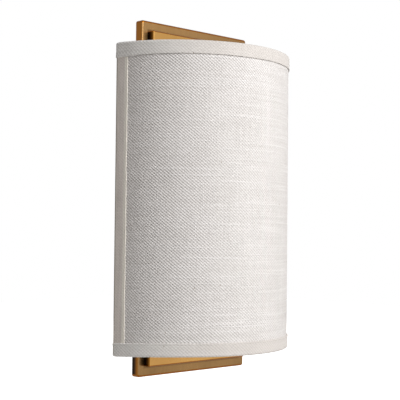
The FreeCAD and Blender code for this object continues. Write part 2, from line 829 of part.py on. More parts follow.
def end_trim(side):
    """Tape folded round an upright end of the shade, between the two rim trims."""
    outer = cover_outer + glue_gap + end_trim_thickness
    outer_face = cover_outer + glue_gap
    inner_face = inner_trim_outer
    inner = inner_face - end_trim_thickness
    under = shade_wall_gap + end_trim_thickness
    long_leg = shade_wall_gap + end_trim_width
    short_leg = shade_wall_gap + inner_trim_width

    def arc(radius, start, end):
        middle = on_arc(radius, (start + end) / 2, side)
        return Part.Arc(on_arc(radius, start, side), middle, on_arc(radius, end, side)).toShape()

    def across(depth, first, last):
        return Part.LineSegment(on_arc(first, depth, side), on_arc(last, depth, side)).toShape()
    edges = [arc(outer, shade_wall_gap, long_leg), across(long_leg, outer, outer_face),
             arc(outer_face, long_leg, under), across(under, outer_face, inner_face),
             arc(inner_face, under, short_leg), across(short_leg, inner_face, inner),
             arc(inner, short_leg, shade_wall_gap), across(shade_wall_gap, inner, outer)]
    low = shade_bottom + trim_width + seat_gap
    high = shade_top - trim_width - seat_gap
    face = Part.Face(Part.Wire(edges))
    face.translate(FreeCAD.Vector(0, 0, low))
    tape = face.extrude(FreeCAD.Vector(0, 0, high - low))
    return tape.cut(rail_notches(side))


def rail_notches(side):
    """Where the inner leg of an end trim is cut out for the rails to reach the strut."""
    reach = on_arc(wire_radius, strut_depth, side).x
    half = rail_thickness / 2 + seat_gap
    height = rail_height + 2 * seat_gap
    notches = [block(4 * wire_diameter, height, strut_depth - half, strut_depth + half,
                     reach - side * 2 * wire_diameter, middle) for middle in post_levels]
    return Part.makeCompound(notches)


def strut(side):
    """An upright wire between the rims, inside the end of the liner."""
    place = on_arc(wire_radius, strut_depth, side)
    low = ring_bottom_level + wire_diameter / 2 + seat_gap
    high = ring_top_level - wire_diameter / 2 - seat_gap
    return upright((place.x, strut_depth), low, high, wire_diameter)


def rail(low):
    """A flat strip between the struts, stepped forward in front of the panel, with two hanging slots."""
    end = on_arc(wire_radius, strut_depth).x - wire_diameter / 2 - seat_gap
    middle = rail_back + rail_thickness / 2
    step_end = rail_step_start - rail_step_run
    half = [(end, strut_depth), (rail_step_start, strut_depth), (step_end, middle)]
    centre_line = [(-across, depth) for across, depth in half] + half[::-1]
    section = strip_face(centre_line, rail_thickness, rail_bend_radius,
                         lambda across, depth: point(across, depth, low))
    shape = section.extrude(FreeCAD.Vector(0, 0, rail_height))
    for side in (-1, 1):
        across = side * post_spacing / 2
        level = low + rail_height / 2
        mouth = block(rail_slot_width, rail_height, rail_back - 1, rail_front + 1, across, low)
        eye = peg((across, level), rail_back - 1, rail_front + 1, rail_slot_width)
        shape = shape.cut(mouth.fuse(eye))
    return shape


# ---- all pieces ----

def all_pieces():
    pieces = {
        "crossbar": crossbar(), "plate_studs": plate_studs(),
        "earth_screw": earth_screw(), "earth_tag": earth_tag(),
        "base_pan": base_pan(), "centre_panel": centre_panel(),
        "panel_studs": panel_studs(), "panel_nuts": panel_nuts(),
        "shade_posts": Part.makeCompound([shade_post(place) for place in post_places]),
        "lamp_bracket": lamp_bracket(), "bracket_screws": bracket_screws(), "bracket_nuts": bracket_nuts(),
        "grommet": grommet(), "terminal_block": terminal_block(), "terminal_screws": terminal_screws(),
        "block_studs": block_studs(), "block_nuts": block_nuts(), "earth_lead": earth_lead(),
        "holder_nuts": Part.makeCompound([holder_nut(), lower(holder_nut())]),
        "shade_liner": bent_sheet(liner_inner, liner_outer, sheet_end_depth,
                                  shade_bottom + rim_cover, shade_top - rim_cover),
        "shade_cover": bent_sheet(cover_inner, cover_outer, sheet_end_depth,
                                  shade_bottom + rim_cover, shade_top - rim_cover),
        "trim_top": rim_trim(shade_top, -1), "trim_bottom": rim_trim(shade_bottom, 1),
        "ring_top": ring(ring_top_level), "ring_bottom": ring(ring_bottom_level),
        "rail_top": rail(rail_top_edge - rail_height), "rail_bottom": rail(rail_bottom_edge),
    }
    for side, word in ((-1, "left"), (1, "right")):
        pieces["trim_" + word] = end_trim(side)
        pieces["strut_" + word] = strut(side)
    for place, word in zip(plate_nut_places, ("left", "right")):
        pieces["plate_nut_" + word] = plate_nut(place)
    for place, word in zip(post_places, ("top_left", "top_right", "bottom_left", "bottom_right")):
        pieces["shade_nut_" + word] = shade_nut(place)
    for make in (holder_body, holder_shell, holder_contact, holder_nipple, lamp_cap, lamp_collar, lamp_dome):
        pieces[make.__name__ + "_upper"] = make()
        pieces[make.__name__ + "_lower"] = lower(make())
    for end, depth, word in ((1, upper_lead_depth, "upper"), (-1, lower_lead_depth, "lower")):
        for side, pole, use in ((-1, pole_places[0], "live"), (1, pole_places[1], "neutral")):
            name = "lead_%s_%s" % (word, use)
            pieces[name] = lampholder_lead(side, end, depth, pole, name)
    return pieces


os.makedirs("parts", exist_ok=True)
for node, shape in all_pieces().items():
    shape.exportStep("parts/%s.step" % node)
    print("%-26s solids %d volume %.1f valid %s" % (node, len(shape.Solids), shape.Volume, shape.isValid()))
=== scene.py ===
from math import acos, ceil, cos, pi, radians, sin, sqrt

import bmesh
import bpy
import numpy as np
from mathutils import Matrix, Vector


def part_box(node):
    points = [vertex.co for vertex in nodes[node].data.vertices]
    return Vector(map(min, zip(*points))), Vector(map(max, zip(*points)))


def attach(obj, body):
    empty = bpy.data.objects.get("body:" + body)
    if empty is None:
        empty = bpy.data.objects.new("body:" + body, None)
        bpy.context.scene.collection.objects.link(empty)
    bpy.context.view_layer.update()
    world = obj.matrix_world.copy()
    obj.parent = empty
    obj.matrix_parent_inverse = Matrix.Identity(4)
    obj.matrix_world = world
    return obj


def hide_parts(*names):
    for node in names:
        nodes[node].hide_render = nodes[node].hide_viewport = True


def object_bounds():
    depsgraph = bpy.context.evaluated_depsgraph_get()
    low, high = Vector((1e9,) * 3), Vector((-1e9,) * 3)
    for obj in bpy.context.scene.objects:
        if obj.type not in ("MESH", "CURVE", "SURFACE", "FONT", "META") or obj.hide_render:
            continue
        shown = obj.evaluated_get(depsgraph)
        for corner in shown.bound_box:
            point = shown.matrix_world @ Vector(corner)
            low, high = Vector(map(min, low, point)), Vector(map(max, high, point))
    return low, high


# Looks of the fabric shade wall light, in metres, in the frame of the CAD model: the origin is on the wall,
# +X to the right as one faces the light, +Y into the wall and +Z up. "Depth" is a distance off the wall.
MM = 0.001
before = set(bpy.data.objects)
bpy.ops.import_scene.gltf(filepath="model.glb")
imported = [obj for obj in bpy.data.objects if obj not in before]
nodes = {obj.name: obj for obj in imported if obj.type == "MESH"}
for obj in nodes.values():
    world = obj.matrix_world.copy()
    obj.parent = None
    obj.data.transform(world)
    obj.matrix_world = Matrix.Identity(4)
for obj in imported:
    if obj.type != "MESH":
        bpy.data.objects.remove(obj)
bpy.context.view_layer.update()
rng = np.random.default_rng(20)

# ---- cloth sizes ----

# The spacing of the linen's upright threads and of its level threads.
WARP_PITCH = 1.775 * MM
WEFT_PITCH = 1.492 * MM
COVER_THICKNESS = 0.6 * MM
GLUE = 0.08 * MM

# Each tape lies over an edge of the shade, with a leg outside and one inside.
TAPE_INNER_LEG = 7.0 * MM
TAPE_THICKNESS = 1.0 * MM
TAPE_LEG = 13.3 * MM
TAPE_FOLD_RADIUS = 1.5 * MM
END_THICKNESS = 0.55 * MM
END_LEG = 12.9 * MM
END_FOLD_RADIUS = 0.45 * MM

# How the rim tapes hang: a lip along the free edge, a sag at the left, and worn corners.
TAPE_LIP = 0.45 * MM
TAPE_SAG = 2.4 * MM
TAPE_CORNER = 4.0 * MM
TAPE_CORNER_DROP = 1.5 * MM

# How far the end tapes run on under the rim tapes, and the raised welt along their front edges.
UNDERLAP_LOW = 3.0 * MM
UNDERLAP_HIGH = 1.0 * MM
WELT_HEIGHT = 1.0 * MM
WELT_WIDTH = 3.5 * MM


# ---- sizes read from the frame ----

def arc_of(node):
    """Radius of the outer arc of a bent piece, seen from above, and the Y of the arc's axis."""
    low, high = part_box(node)
    half = high.x
    rise = high.y - low.y
    radius = (half ** 2 + rise ** 2) / (2 * rise)
    return radius, low.y + radius


COVER_RADIUS, AXIS_Y = arc_of("shade_cover")
TAPE_RADIUS, _ = arc_of("trim_top")
WIRE_RADIUS, _ = arc_of("ring_top")
WIRE_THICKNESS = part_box("ring_top")[1].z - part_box("ring_top")[0].z
COVER_LOW, COVER_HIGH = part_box("shade_cover")
SHADE_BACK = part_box("trim_top")[1].y
INNER_RADIUS = WIRE_RADIUS - WIRE_THICKNESS - GLUE


# ---- lines and profiles ----

# How much wave lengths vary either way, and about a full turn, anywhere in which a wave starts.
WAVE_SPREAD = 0.15
ANY_PHASE = 6.28

# Places near an edge, as shares of the width that is rounded off.
EDGE_PLACES = (0.0, 0.08, 0.25, 0.55, 1.0)
FOLD_POINTS = 6


def ripple(x, lengths, size, seed):
    """A smooth uneven line: waves of about these lengths and this size, drawn from the seed."""
    chance = np.random.default_rng(seed)
    total = np.zeros_like(x, dtype=float)
    for length in lengths:
        wave_length = length * chance.uniform(1 - WAVE_SPREAD, 1 + WAVE_SPREAD)
        total += np.sin(2 * pi * x / wave_length + chance.uniform(0, ANY_PHASE))
    return size * total / sqrt(len(lengths))


def stations(length, step, edge):
    """Places along a width: close together within edge of both ends, step apart between."""
    near = edge * np.array(EDGE_PLACES)
    count = max(2, round((length - 2 * edge) / step) + 1)
    middle = np.linspace(edge, length - edge, count)[1:-1]
    return np.concatenate([near, middle, (length - near)[::-1]])


def rounding(along, length, edge):
    """1 inside a strip and 0 at its two edges, along a quarter circle."""
    inside = np.minimum(along, length - along) / edge
    return np.sqrt(1 - (1 - np.clip(inside, 0, 1)) ** 2)


def bell(x, width):
    """1 at 0, falling to nothing on both sides within about twice the width."""
    return np.exp(-(x / width) ** 2)


def on_arc(radius, angle):
    """X and Y of a point on the shade's arc; angle 0 faces the room and grows to the right."""
    return radius * np.sin(angle), AXIS_Y - radius * np.cos(angle)


def half_turn(radius, back):
    """Angle from the middle of an arc round the shade's axis to where it meets the Y of its back."""
    return acos((AXIS_Y - back) / radius)


def fold_profile(start, first, second, end, radius, step):
    """A line with rounded folds at two square corners: its points and the distance along it."""
    start, first, second, end = [np.array(p, float) for p in (start, first, second, end)]
    points = []
    back = start
    for corner, ahead in ((first, second), (second, end)):
        into = (corner - back) / np.linalg.norm(corner - back)
        out = (ahead - corner) / np.linalg.norm(ahead - corner)
        begin = corner - into * radius
        count = max(2, ceil(np.linalg.norm(begin - back) / step))
        points += [back + (begin - back) * i / count for i in range(count)]
        centre = begin + out * radius
        points += [centre - out * radius * cos(a) + into * radius * sin(a)
                   for a in np.linspace(0, pi / 2, FOLD_POINTS)[:-1]]
        back = corner + out * radius
    count = max(2, ceil(np.linalg.norm(end - back) / step))
    points += [back + (end - back) * i / count for i in range(count + 1)]
    points = np.array(points)
    along = np.concatenate([[0], np.cumsum(np.linalg.norm(np.diff(points, axis=0), axis=1))])
    return points, along


# ---- mesh helpers ----

def placed(name, data):
    """An object in the scene: a mesh, a camera or a lamp."""
    obj = bpy.data.objects.new(name, data)
    bpy.context.scene.collection.objects.link(obj)
    return obj


def placed_body(name, body):
    """An object in the scene made of a bmesh, which is freed."""
    mesh = bpy.data.meshes.new(name)
    body.to_mesh(mesh)
    body.free()
    return placed(name, mesh)


def mesh_object(name, points, quads, uv=None):
    mesh = bpy.data.meshes.new(name)
    mesh.vertices.add(len(points))
    mesh.vertices.foreach_set("co", points.astype(np.float32).ravel())
    mesh.loops.add(quads.size)
    mesh.loops.foreach_set("vertex_index", quads.astype(np.int32).ravel())
    mesh.polygons.add(len(quads))
    mesh.polygons.foreach_set("loop_start", np.arange(0, quads.size, 4, dtype=np.int32))
    mesh.update(calc_edges=True)
    if uv is not None:
        layer = mesh.uv_layers.new(name="cloth")
        layer.uv.foreach_set("vector", uv[quads.ravel()].astype(np.float32).ravel())
    mesh.polygons.foreach_set("use_smooth", [True] * len(mesh.polygons))
    mesh.validate()
    return placed(name, mesh)


def outward(points, quads):
    """The quads, turned over if they enclose a negative volume."""
    a, b, c, d = [points[quads[:, k]] for k in range(4)]
    volume = (a * np.cross(b, c)).sum() + (a * np.cross(c, d)).sum()
    return quads if volume > 0 else quads[:, ::-1]


def grid_quads(rows, columns, wrap_rows=False, wrap_columns=False):
    """The faces of a grid of points, which may close on itself either way."""
    i = np.arange(rows if wrap_rows else rows - 1)
    j = np.arange(columns if wrap_columns else columns - 1)
    i, j = [x.ravel() for x in np.meshgrid(i, j, indexing="ij")]
    up, right = (i + 1) % rows, (j + 1) % columns
    return np.stack([i * columns + j, up * columns + j, up * columns + right, i * columns + right], 1)


def cloth_body(name, centre, outer, inner, uv):
    """A closed thin body round a grid of points, offset along the grid's normals to both sides."""
    rows, columns = centre.shape[:2]
    along = np.gradient(centre, axis=0)
    across = np.gradient(centre, axis=1)
    normal = np.cross(along, across)
    normal /= np.linalg.norm(normal, axis=2, keepdims=True)
    points = np.concatenate([(centre + normal * outer[..., None]).reshape(-1, 3),
                             (centre - normal * inner[..., None]).reshape(-1, 3)])
    count = rows * columns
    front = grid_quads(rows, columns)
    number = np.arange(count).reshape(rows, columns)
    rim = np.concatenate([number[:-1, 0], number[-1, :-1], number[:0:-1, -1], number[0, :0:-1]])
    ahead = np.roll(rim, -1)
    walls = np.stack([rim, rim + count, ahead + count, ahead], 1)
    quads = np.concatenate([front, front[:, ::-1] + count, walls])
    return mesh_object(name, points, outward(points, quads), np.concatenate([uv.reshape(-1, 2)] * 2))


def shift_body(obj, moves):
    """Moves both sides of a cloth body by one grid of vectors."""
    co = np.zeros(len(obj.data.vertices) * 3)
    obj.data.vertices.foreach_get("co", co)
    co = co.reshape(-1, 3) + np.concatenate([moves.reshape(-1, 3)] * 2)
    obj.data.vertices.foreach_set("co", co.ravel())
    obj.data.update()


SHARP_DEGREES = 32


def close_up(obj):
    """Fills a piece's open ends, turns its faces outward and marks its sharp edges."""
    body = bmesh.new()
    body.from_mesh(obj.data)
    bmesh.ops.holes_fill(body, edges=[edge for edge in body.edges if edge.is_boundary], sides=0)
    bmesh.ops.recalc_face_normals(body, faces=body.faces)
    body.to_mesh(obj.data)
    body.free()
    obj.data.set_sharp_from_angle(angle=radians(SHARP_DEGREES))
    return obj


def combined(obj, operation, others):
    """Cuts other bodies out of a piece, or keeps what it shares with them, and deletes them."""
    for other in others:
        change = obj.modifiers.new("change", "BOOLEAN")
        change.operation = operation
        change.solver = "EXACT"
        change.object = other
    result = bpy.data.meshes.new_from_object(obj.evaluated_get(bpy.context.evaluated_depsgraph_get()))
    obj.modifiers.clear()
    obj.data = result
    for other in others:
        bpy.data.objects.remove(other)
    return close_up(obj)


def joined(name, pieces):
    """One object made of several closed bodies."""
    body = bmesh.new()
    for piece in pieces:
        body.from_mesh(piece.data)
        bpy.data.objects.remove(piece)
    return close_up(placed_body(name, body))


def dress(obj, material, body, slot, *replaced):
    """Gives a new piece its material and its body, and hides the nodes that it stands for. slot is not used.
    """
    obj.data.materials.append(material)
    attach(obj, body)
    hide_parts(*replaced)
    return obj


# ---- node helpers ----

# The sockets of a Mix node that mixes colours.
MIX_FACTOR, MIX_FIRST, MIX_SECOND, MIX_RESULT = 0, 6, 7, 2


def linear(colour):
    """An sRGB colour from 0 to 255 as linear RGBA."""
    parts = [value / 255 for value in colour]
    return [v / 12.92 if v <= 0.04045 else ((v + 0.055) / 1.055) ** 2.4 for v in parts] + [1.0]


def darker(colour, share):
    return tuple(value * share for value in colour)


class Nodes:
    """The few kinds of nodes that the finishes and the background are made of."""

    def __init__(self, tree):
        self.tree = tree

    def add(self, kind, inputs, **settings):
        node = self.tree.nodes.new("ShaderNode" + kind)
        for key, value in settings.items():
            setattr(node, key, value)
        for socket, value in inputs.items():
            self.feed(node.inputs[socket], value)
        return node

    def feed(self, socket, value):
        if isinstance(value, bpy.types.NodeSocket):
            self.tree.links.new(value, socket)
        else:
            socket.default_value = value

    def place(self):
        """The point of the object, in metres."""
        return self.add("TexCoord", {}).outputs["Object"]

    def facing(self):
        """How far the surface faces along X, Y and Z, from -1 to 1."""
        return self.split(self.add("TexCoord", {}).outputs["Normal"])

    def cloth(self):
        """The place on the flat cloth, in metres."""
        return self.add("UVMap", {}, uv_map="cloth").outputs["UV"]

    def split(self, vector):
        node = self.add("SeparateXYZ", {"Vector": vector})
        return [node.outputs[k] for k in "XYZ"]

    def join(self, x, y, z=0.0):
        """A vector. In a noise of the flat cloth, z only picks another pattern, as a seed does."""
        return self.add("CombineXYZ", {"X": x, "Y": y, "Z": z}).outputs["Vector"]

    def math(self, operation, *values):
        return self.add("Math", dict(enumerate(values)), operation=operation).outputs["Value"]

    def times(self, *values):
        return self.math("MULTIPLY", *values)

    def total(self, first, *others):
        for other in others:
            first = self.math("ADD", first, other)
        return first

    def size(self, value):
        return self.math("ABSOLUTE", value)

    def distance(self, value, other):
        return self.size(self.math("SUBTRACT", value, other))

    def scaled(self, vector, x, y, z):
        return self.add("VectorMath", {0: vector, 1: (x, y, z)}, operation="MULTIPLY").outputs["Vector"]

    def noise(self, vector, scale, detail, roughness=0.5):
        node = self.add("TexNoise", {"Vector": vector, "Scale": scale, "Detail": detail,
                                     "Roughness": roughness}, noise_dimensions="3D")
        return node.outputs["Fac"]

    def between(self, value, low, high, to_low=0, to_high=1, kind="LINEAR"):
        """What goes evenly from one number to another while a value goes from low to high."""
        inputs = {"Value": value, "From Min": low, "From Max": high, "To Min": to_low, "To Max": to_high}
        return self.add("MapRange", inputs, interpolation_type=kind).outputs["Result"]

    def fade(self, value, low, high, to_low=0, to_high=1):
        """The same with a soft start and end."""
        return self.between(value, low, high, to_low, to_high, "SMOOTHSTEP")

    def mix(self, factor, first, second):
        """A mix of two colours. A tuple is an sRGB colour, and a list is linear."""
        first, second = [linear(value) if isinstance(value, tuple) else value for value in (first, second)]
        inputs = {MIX_FACTOR: factor, MIX_FIRST: first, MIX_SECOND: second}
        return self.add("Mix", inputs, data_type="RGBA").outputs[MIX_RESULT]

    def bump(self, height, distance, strength=1.0):
        node = self.add("Bump", {"Height": height, "Distance": distance, "Strength": strength})
        return node.outputs["Normal"]

    def seen_directly(self):
        """1 on rays from the camera and on those that metal and glass send back or let through."""
        rays = self.add("LightPath", {}).outputs
        seen = self.math("MAXIMUM", rays["Is Camera Ray"], rays["Is Glossy Ray"])
        return self.math("MAXIMUM", seen, rays["Is Transmission Ray"])


class Finish(Nodes):
    """A material whose nodes feed one Principled shader."""

    def __init__(self, name):
        self.material = bpy.data.materials.new(name)
        self.material.use_nodes = True
        super().__init__(self.material.node_tree)
        self.shader = self.tree.nodes["Principled BSDF"]

    def set(self, **values):
        for key, value in values.items():
            self.feed(self.shader.inputs[key.replace("_", " ")], value)


# ---- linen ----

LINEN = (245, 241, 239)
LINEN_DARK = (172, 164, 157)
TAPE_LINEN = (226, 220, 215)
# Painted light at the ends of the rim tapes.
TAPE_END_LIGHT = (255, 253, 250)
END_TAPE_LINEN = (243, 234, 227)
# Painted highlight along the end tapes' welt.
WELT_HIGHLIGHT = (253, 247, 236)
# Painted shade along the end tapes' back fold.
FOLD_SHADE_COLOUR = (158, 150, 136)
FLECK = (138, 112, 88)
FLECK_SPACING = 27 * MM
FLECK_SIZE = 0.9 * MM
FLECK_SHARE = 0.08
FLECK_STRENGTH = 0.6

# How fine each unevenness of the linen is, per metre of cloth.
DRIFT_GRAIN = 55
RIB_GRAIN = 42
PATCH_GRAIN = 34
LINT_GRAIN = 2600
WARP_CHANGE = 11.0
WEFT_CHANGE = 13.0
STREAK_GRAIN = (420.0, 26.0)

# The weave's relief at the ends of a calm cloth, and the painted shade along an end tape's fold.
CALM_WEAVE = 0.45
FOLD_SHADE = 0.85
FOLD_SHADE_REACH = (0.8 * MM, 2.0 * MM)


def weave_of(f, u, v, both_ways):
    """The weave's relief about 0: two drifting diagonals of ribs, the rising one faint and patchy."""
    drift = f.noise(f.join(u, v), DRIFT_GRAIN, 1)
    across = f.total(f.math("DIVIDE", u, 2 * WARP_PITCH), f.times(drift, 0.25))
    up = f.total(f.math("DIVIDE", v, 2 * WEFT_PITCH), f.times(drift, 0.2))
    turn = 2 * pi
    falling = f.math("COSINE", f.times(f.math("ADD", across, up), turn))
    rising = f.math("COSINE", f.times(f.math("SUBTRACT", across, up), turn))
    patches = f.noise(f.join(u, v, 6.6), RIB_GRAIN, 1)
    patchy = f.between(patches, 0.35, 0.65, 0.5 * both_ways, 1.5 * both_ways)
    return f.total(f.times(falling, 0.5 - both_ways), f.times(rising, patchy))


def yarns_of(f, u, v):
    """Noise for the upright threads, for the level threads and for their crossings."""
    column, row = f.math("DIVIDE", u, WARP_PITCH), f.math("DIVIDE", v, WEFT_PITCH)
    warp = f.noise(f.join(column, f.times(v, WARP_CHANGE), 3.1), 1.0, 1)
    weft = f.noise(f.join(f.times(u, WEFT_CHANGE), row, 7.7), 1.0, 1)
    return warp, weft, f.noise(f.join(column, row, 4.4), 1.3, 1)


def flecked(f, colour, u, v):
    """A few small dark flecks of straw, each in a cell of its own."""
    inputs = {"Vector": f.join(u, v), "Scale": 1 / FLECK_SPACING}
    cells = f.add("TexVoronoi", inputs, voronoi_dimensions="2D")
    chosen = f.between(f.split(cells.outputs["Color"])[0], 1 - FLECK_SHARE, 1.001 - FLECK_SHARE)
    size = FLECK_SIZE / FLECK_SPACING
    near = f.between(cells.outputs["Distance"], 0.4 * size, size, 1, 0)
    return f.mix(f.times(f.times(near, chosen), FLECK_STRENGTH), colour, FLECK)


def welt_highlight_and_fold_shade(f, colour, u, welt):
    """A painted highlight on the welt along the tape's front edge, where u is 0, and painted shade along the
    fold at its back.
    """
    front = f.fade(f.size(u), 0.7 * welt, welt, 1, 0)
    colour = f.mix(front, colour, WELT_HIGHLIGHT)
    from_fold = f.distance(f.size(u), END_LEG)
    return f.mix(f.fade(from_fold, *FOLD_SHADE_REACH, FOLD_SHADE, 0), colour, FOLD_SHADE_COLOUR)


def linen(name, light, relief, contrast, slubs, both_ways, half=0.0, calm=0.0, streaks=0.0, welt=0.0):
    """Plain weave in coarse off-white linen, with thick and thin threads both ways and a few dark flecks.

    light is the colour of its ribs, relief their height and contrast the painted shade between them. slubs
    is how uneven the threads are, both_ways the strength of the weave's second diagonal, streaks how much
    the tone changes across a tape and welt the width of the painted highlight along its front. half is half
    the length of
    a cloth whose ends differ: they get painted light, or flatter over the length calm if that is given.
    """
    f = Finish(name)
    u, v, _ = f.split(f.cloth())
    weave = weave_of(f, u, v, both_ways)
    from_middle = f.distance(u, half)
    if calm:
        weave = f.times(weave, f.fade(from_middle, half - calm, half, 1, CALM_WEAVE))
    weave = f.total(weave, 0.5)
    warp, weft, crossings = yarns_of(f, u, v)
    thick = f.total(f.fade(warp, 0.66, 0.84, 0, 0.8), f.fade(weft, 0.58, 0.76))
    uneven = f.total(f.times(warp, 0.35), f.times(weft, 0.65))
    patches = f.noise(f.join(u, v, 1.3), PATCH_GRAIN, 3)

    # The weave term darkens the hollows between the ribs, which is painted shade; the others are the yarns'
    # own tone.
    shade = f.total(f.times(f.between(weave, 0.05, 0.90, 1, 0), contrast),
                    f.between(crossings, 0.3, 0.7, 0.35 * contrast, -0.2 * contrast),
                    f.between(uneven, 0.35, 0.65, 0.11 * slubs, -0.05 * slubs),
                    f.between(patches, 0.3, 0.7, 0.05, -0.03))
    shade = f.math("SUBTRACT", shade, f.times(thick, 0.12 * slubs))
    if streaks:
        across, along = STREAK_GRAIN
        bands = f.noise(f.join(f.times(u, across), f.times(v, along), 5.0), 1.0, 2)
        shade = f.total(shade, f.between(bands, 0.3, 0.7, streaks, -streaks))

    # Painted light: the ends of a tape that is not calm are paler.
    if half and not calm:
        light = f.mix(f.between(from_middle, 0.35 * half, half), light, TAPE_END_LIGHT)
    colour = flecked(f, f.mix(f.between(shade, 0, 1), light, LINEN_DARK), u, v)
    if welt:
        colour = welt_highlight_and_fold_shade(f, colour, u, welt)
    lint = f.noise(f.join(u, v, 9.0), LINT_GRAIN, 2)
    height = f.total(f.times(weave, 0.7), f.times(thick, 0.38 * slubs), f.times(lint, 0.25))
    f.set(Base_Color=colour, Roughness=0.92, Sheen_Weight=0.12, Sheen_Roughness=0.5,
          Specular_IOR_Level=0.25, Normal=f.bump(height, relief))
    return f.material


# ---- brass ----

# Painted dark reflection on the brass's rounded top and bottom edges.
DARK_EDGE_REFLECTION = (118, 68, 8)
# Painted shade, also standing for patina, beside the ends of the panel that stands on the plate.
CORNER_SHADE = (92, 66, 38)

# Brush lines are a hundred times as long as they are wide.
BRUSH_GRAIN = 1400.0
FINE_BRUSH_GRAIN = 4200.0
BRUSH_LENGTH = 100


def brushed(f, here, grain, detail, roughness):
    return f.noise(f.scaled(here, grain, grain, grain / BRUSH_LENGTH), 1.0, detail, roughness)


def corner_shade_and_patina(f, base, here, corner, in_front):
    """Painted shade, also standing for patina, on a face along the ends of the piece that stands on it."""
    across, _, level = f.split(here)
    outside = f.math("SUBTRACT", f.size(level), corner.z)
    beside = f.times(f.fade(outside, 1.2 * MM, 2.6 * MM, 0.8, 0), f.fade(outside, -2 * MM, 0))
    along = f.fade(f.size(across), corner.x - MM, corner.x + 2 * MM, 1, 0)
    return f.mix(f.times(f.times(beside, along), in_front), base, CORNER_SHADE)


def rim_reflection_and_low_shade(f, base, level, rim, dark, in_front):
    """Painted light on a face: a dark reflection along its top and bottom edges, and shade on its lower
    half.
    """
    # Painted dark reflection along the top and bottom edges.
    outermost = f.fade(f.size(level), rim - 2.5 * MM, rim - 1.5 * MM)
    base = f.mix(f.times(outermost, in_front), base, DARK_EDGE_REFLECTION)
    # Painted shade: darker towards the bottom.
    lower = f.fade(level, -rim, 0.2 * rim, 0.35, 0)
    return f.mix(lower, base, darker(dark, 0.72))


def brass(name, colour, dark, side, foot, arris, foot_at_top, streak=1.0, corner=None, rim=None):
    """Antiqued brass brushed upright: light on its face, with painted shade on its sides and its foot and a
    painted dark reflection on its rounded ends.

    foot is the depth of its foot, foot_at_top how much of the foot's painted shade is left at the top, arris
    how far it faces sideways where its flanks start, and streak the strength of its brush lines. corner is
    that of a piece that stands on it, with painted shade and patina along its ends, and rim half the height
    of its face, whose edges get a painted dark reflection and whose lower half painted shade.
    """
    f = Finish(name)
    here = f.place()
    fine = brushed(f, here, FINE_BRUSH_GRAIN, 2, 0.6)
    cloud = f.noise(here, 28, 3)
    tone = f.total(f.between(brushed(f, here, BRUSH_GRAIN, 3, 0.65), 0.3, 0.7, 0.0, 0.45 * streak),
                   f.between(cloud, 0.35, 0.7, 0, 0.3),
                   f.between(f.noise(here, 7, 1), 0.35, 0.65, -0.15, 0.25))
    base = f.mix(f.between(tone, 0, 1), colour, dark)

    sideways, outwards, upwards = f.facing()
    sideways, upwards = f.size(sideways), f.size(upwards)
    in_front = f.fade(outwards, -0.9, -0.5, 1, 0)
    _, depth, level = f.split(here)
    if corner:
        base = corner_shade_and_patina(f, base, here, corner, in_front)
    if rim:
        base = rim_reflection_and_low_shade(f, base, level, rim, dark, in_front)

    # Painted shade: the sides are darker, darkest near the foot, and the foot's shade fades upward to
    # foot_at_top.
    foot_shade = f.fade(depth, -foot - 8 * MM, -foot - MM)
    foot_shade = f.times(foot_shade, f.between(level, -0.15, 0.15, 1, foot_at_top))
    flank_shade = f.mix(foot_shade, side, [*darker(linear(side)[:3], 0.04), 1])
    base = f.mix(f.fade(sideways, arris, arris + 0.25), base, flank_shade)
    # Painted dark reflection on rounded top and bottom edges; faces looking straight up or down get the side
    # shade.
    end = f.mix(f.fade(upwards, 0.85, 0.98), DARK_EDGE_REFLECTION, side)
    base = f.mix(f.fade(upwards, 0.02, 0.12), base, end)
    rough = f.total(f.between(fine, 0.3, 0.7, 0.26, 0.34), f.between(cloud, 0.3, 0.7, -0.02, 0.05))
    f.set(Base_Color=base, Metallic=1.0, Roughness=rough, Anisotropic=0.55,
          Normal=f.bump(fine, 0.02 * MM, 0.6))
    return f.material


# ---- plated and moulded finishes ----

def metal(name, colour, rough, grain=900.0, mottle=0.12, cloudy=0.22):
    """Plated metal with a faint spangle; cloudy is how much darker its clouded patches are."""
    f = Finish(name)
    here = f.place()
    spangle = f.noise(here, grain, 3, 0.6)
    cloud = f.noise(here, 60, 3)
    dark = darker(colour, 1 - cloudy)
    base = f.mix(f.between(cloud, 0.3, 0.75), colour, dark)
    base = f.mix(f.times(spangle, mottle), base, dark)
    f.set(Base_Color=base, Metallic=1.0, Roughness=f.between(spangle, 0.3, 0.7, rough - 0.05, rough + 0.08),
          Normal=f.bump(spangle, 0.02 * MM, 0.4))
    return f.material


def moulded(name, colour, rough, grain=1500.0, relief=0.02 * MM, coat=0.0):
    """Moulded plastic, rubber, glaze or enamel: a slight mottling and a fine surface texture."""
    f = Finish(name)
    here = f.place()
    fine = f.noise(here, grain, 2)
    cloud = f.noise(here, 45, 3)
    mottled = f.mix(f.between(cloud, 0.3, 0.7, 0, 0.8), colour, darker(colour, 0.93))
    uneven = f.between(f.total(fine, cloud), 0.7, 1.3, rough - 0.04, rough + 0.06)
    f.set(Base_Color=mottled, Roughness=uneven, Specular_IOR_Level=0.5, Coat_Weight=coat,
          Normal=f.bump(fine, relief, 0.5))
    return f.material


# ---- shade: the cover ----

COVER_WAVE = 0.05 * MM
SLUB_COUNT = 64
SLUB_HEIGHT = 0.32 * MM
SLUB_REACH = (6 * MM, 38 * MM)
SLUB_LIFT = (0.06 * MM, 0.18 * MM)
LEVEL_SLUBS = 0.75


def slub(along, up, length, height):
    """One thick stretch of a thread, along the width or the height of the cloth."""
    middle = np.array([rng.uniform(0.03, 0.97) * length, rng.uniform(0.05, 0.95) * height])
    reach = rng.uniform(*SLUB_REACH)
    lift = rng.uniform(*SLUB_LIFT)
    if rng.random() < LEVEL_SLUBS:
        line, side, pitch = along - middle[0], up - middle[1], WEFT_PITCH
    else:
        line, side, pitch = up - middle[1], along - middle[0], WARP_PITCH
    bow = ripple(line, (reach * 3,), 0.3 * pitch, int(rng.integers(1e6)))
    return lift * bell(line, reach) * bell(side - bow, 0.62 * pitch)


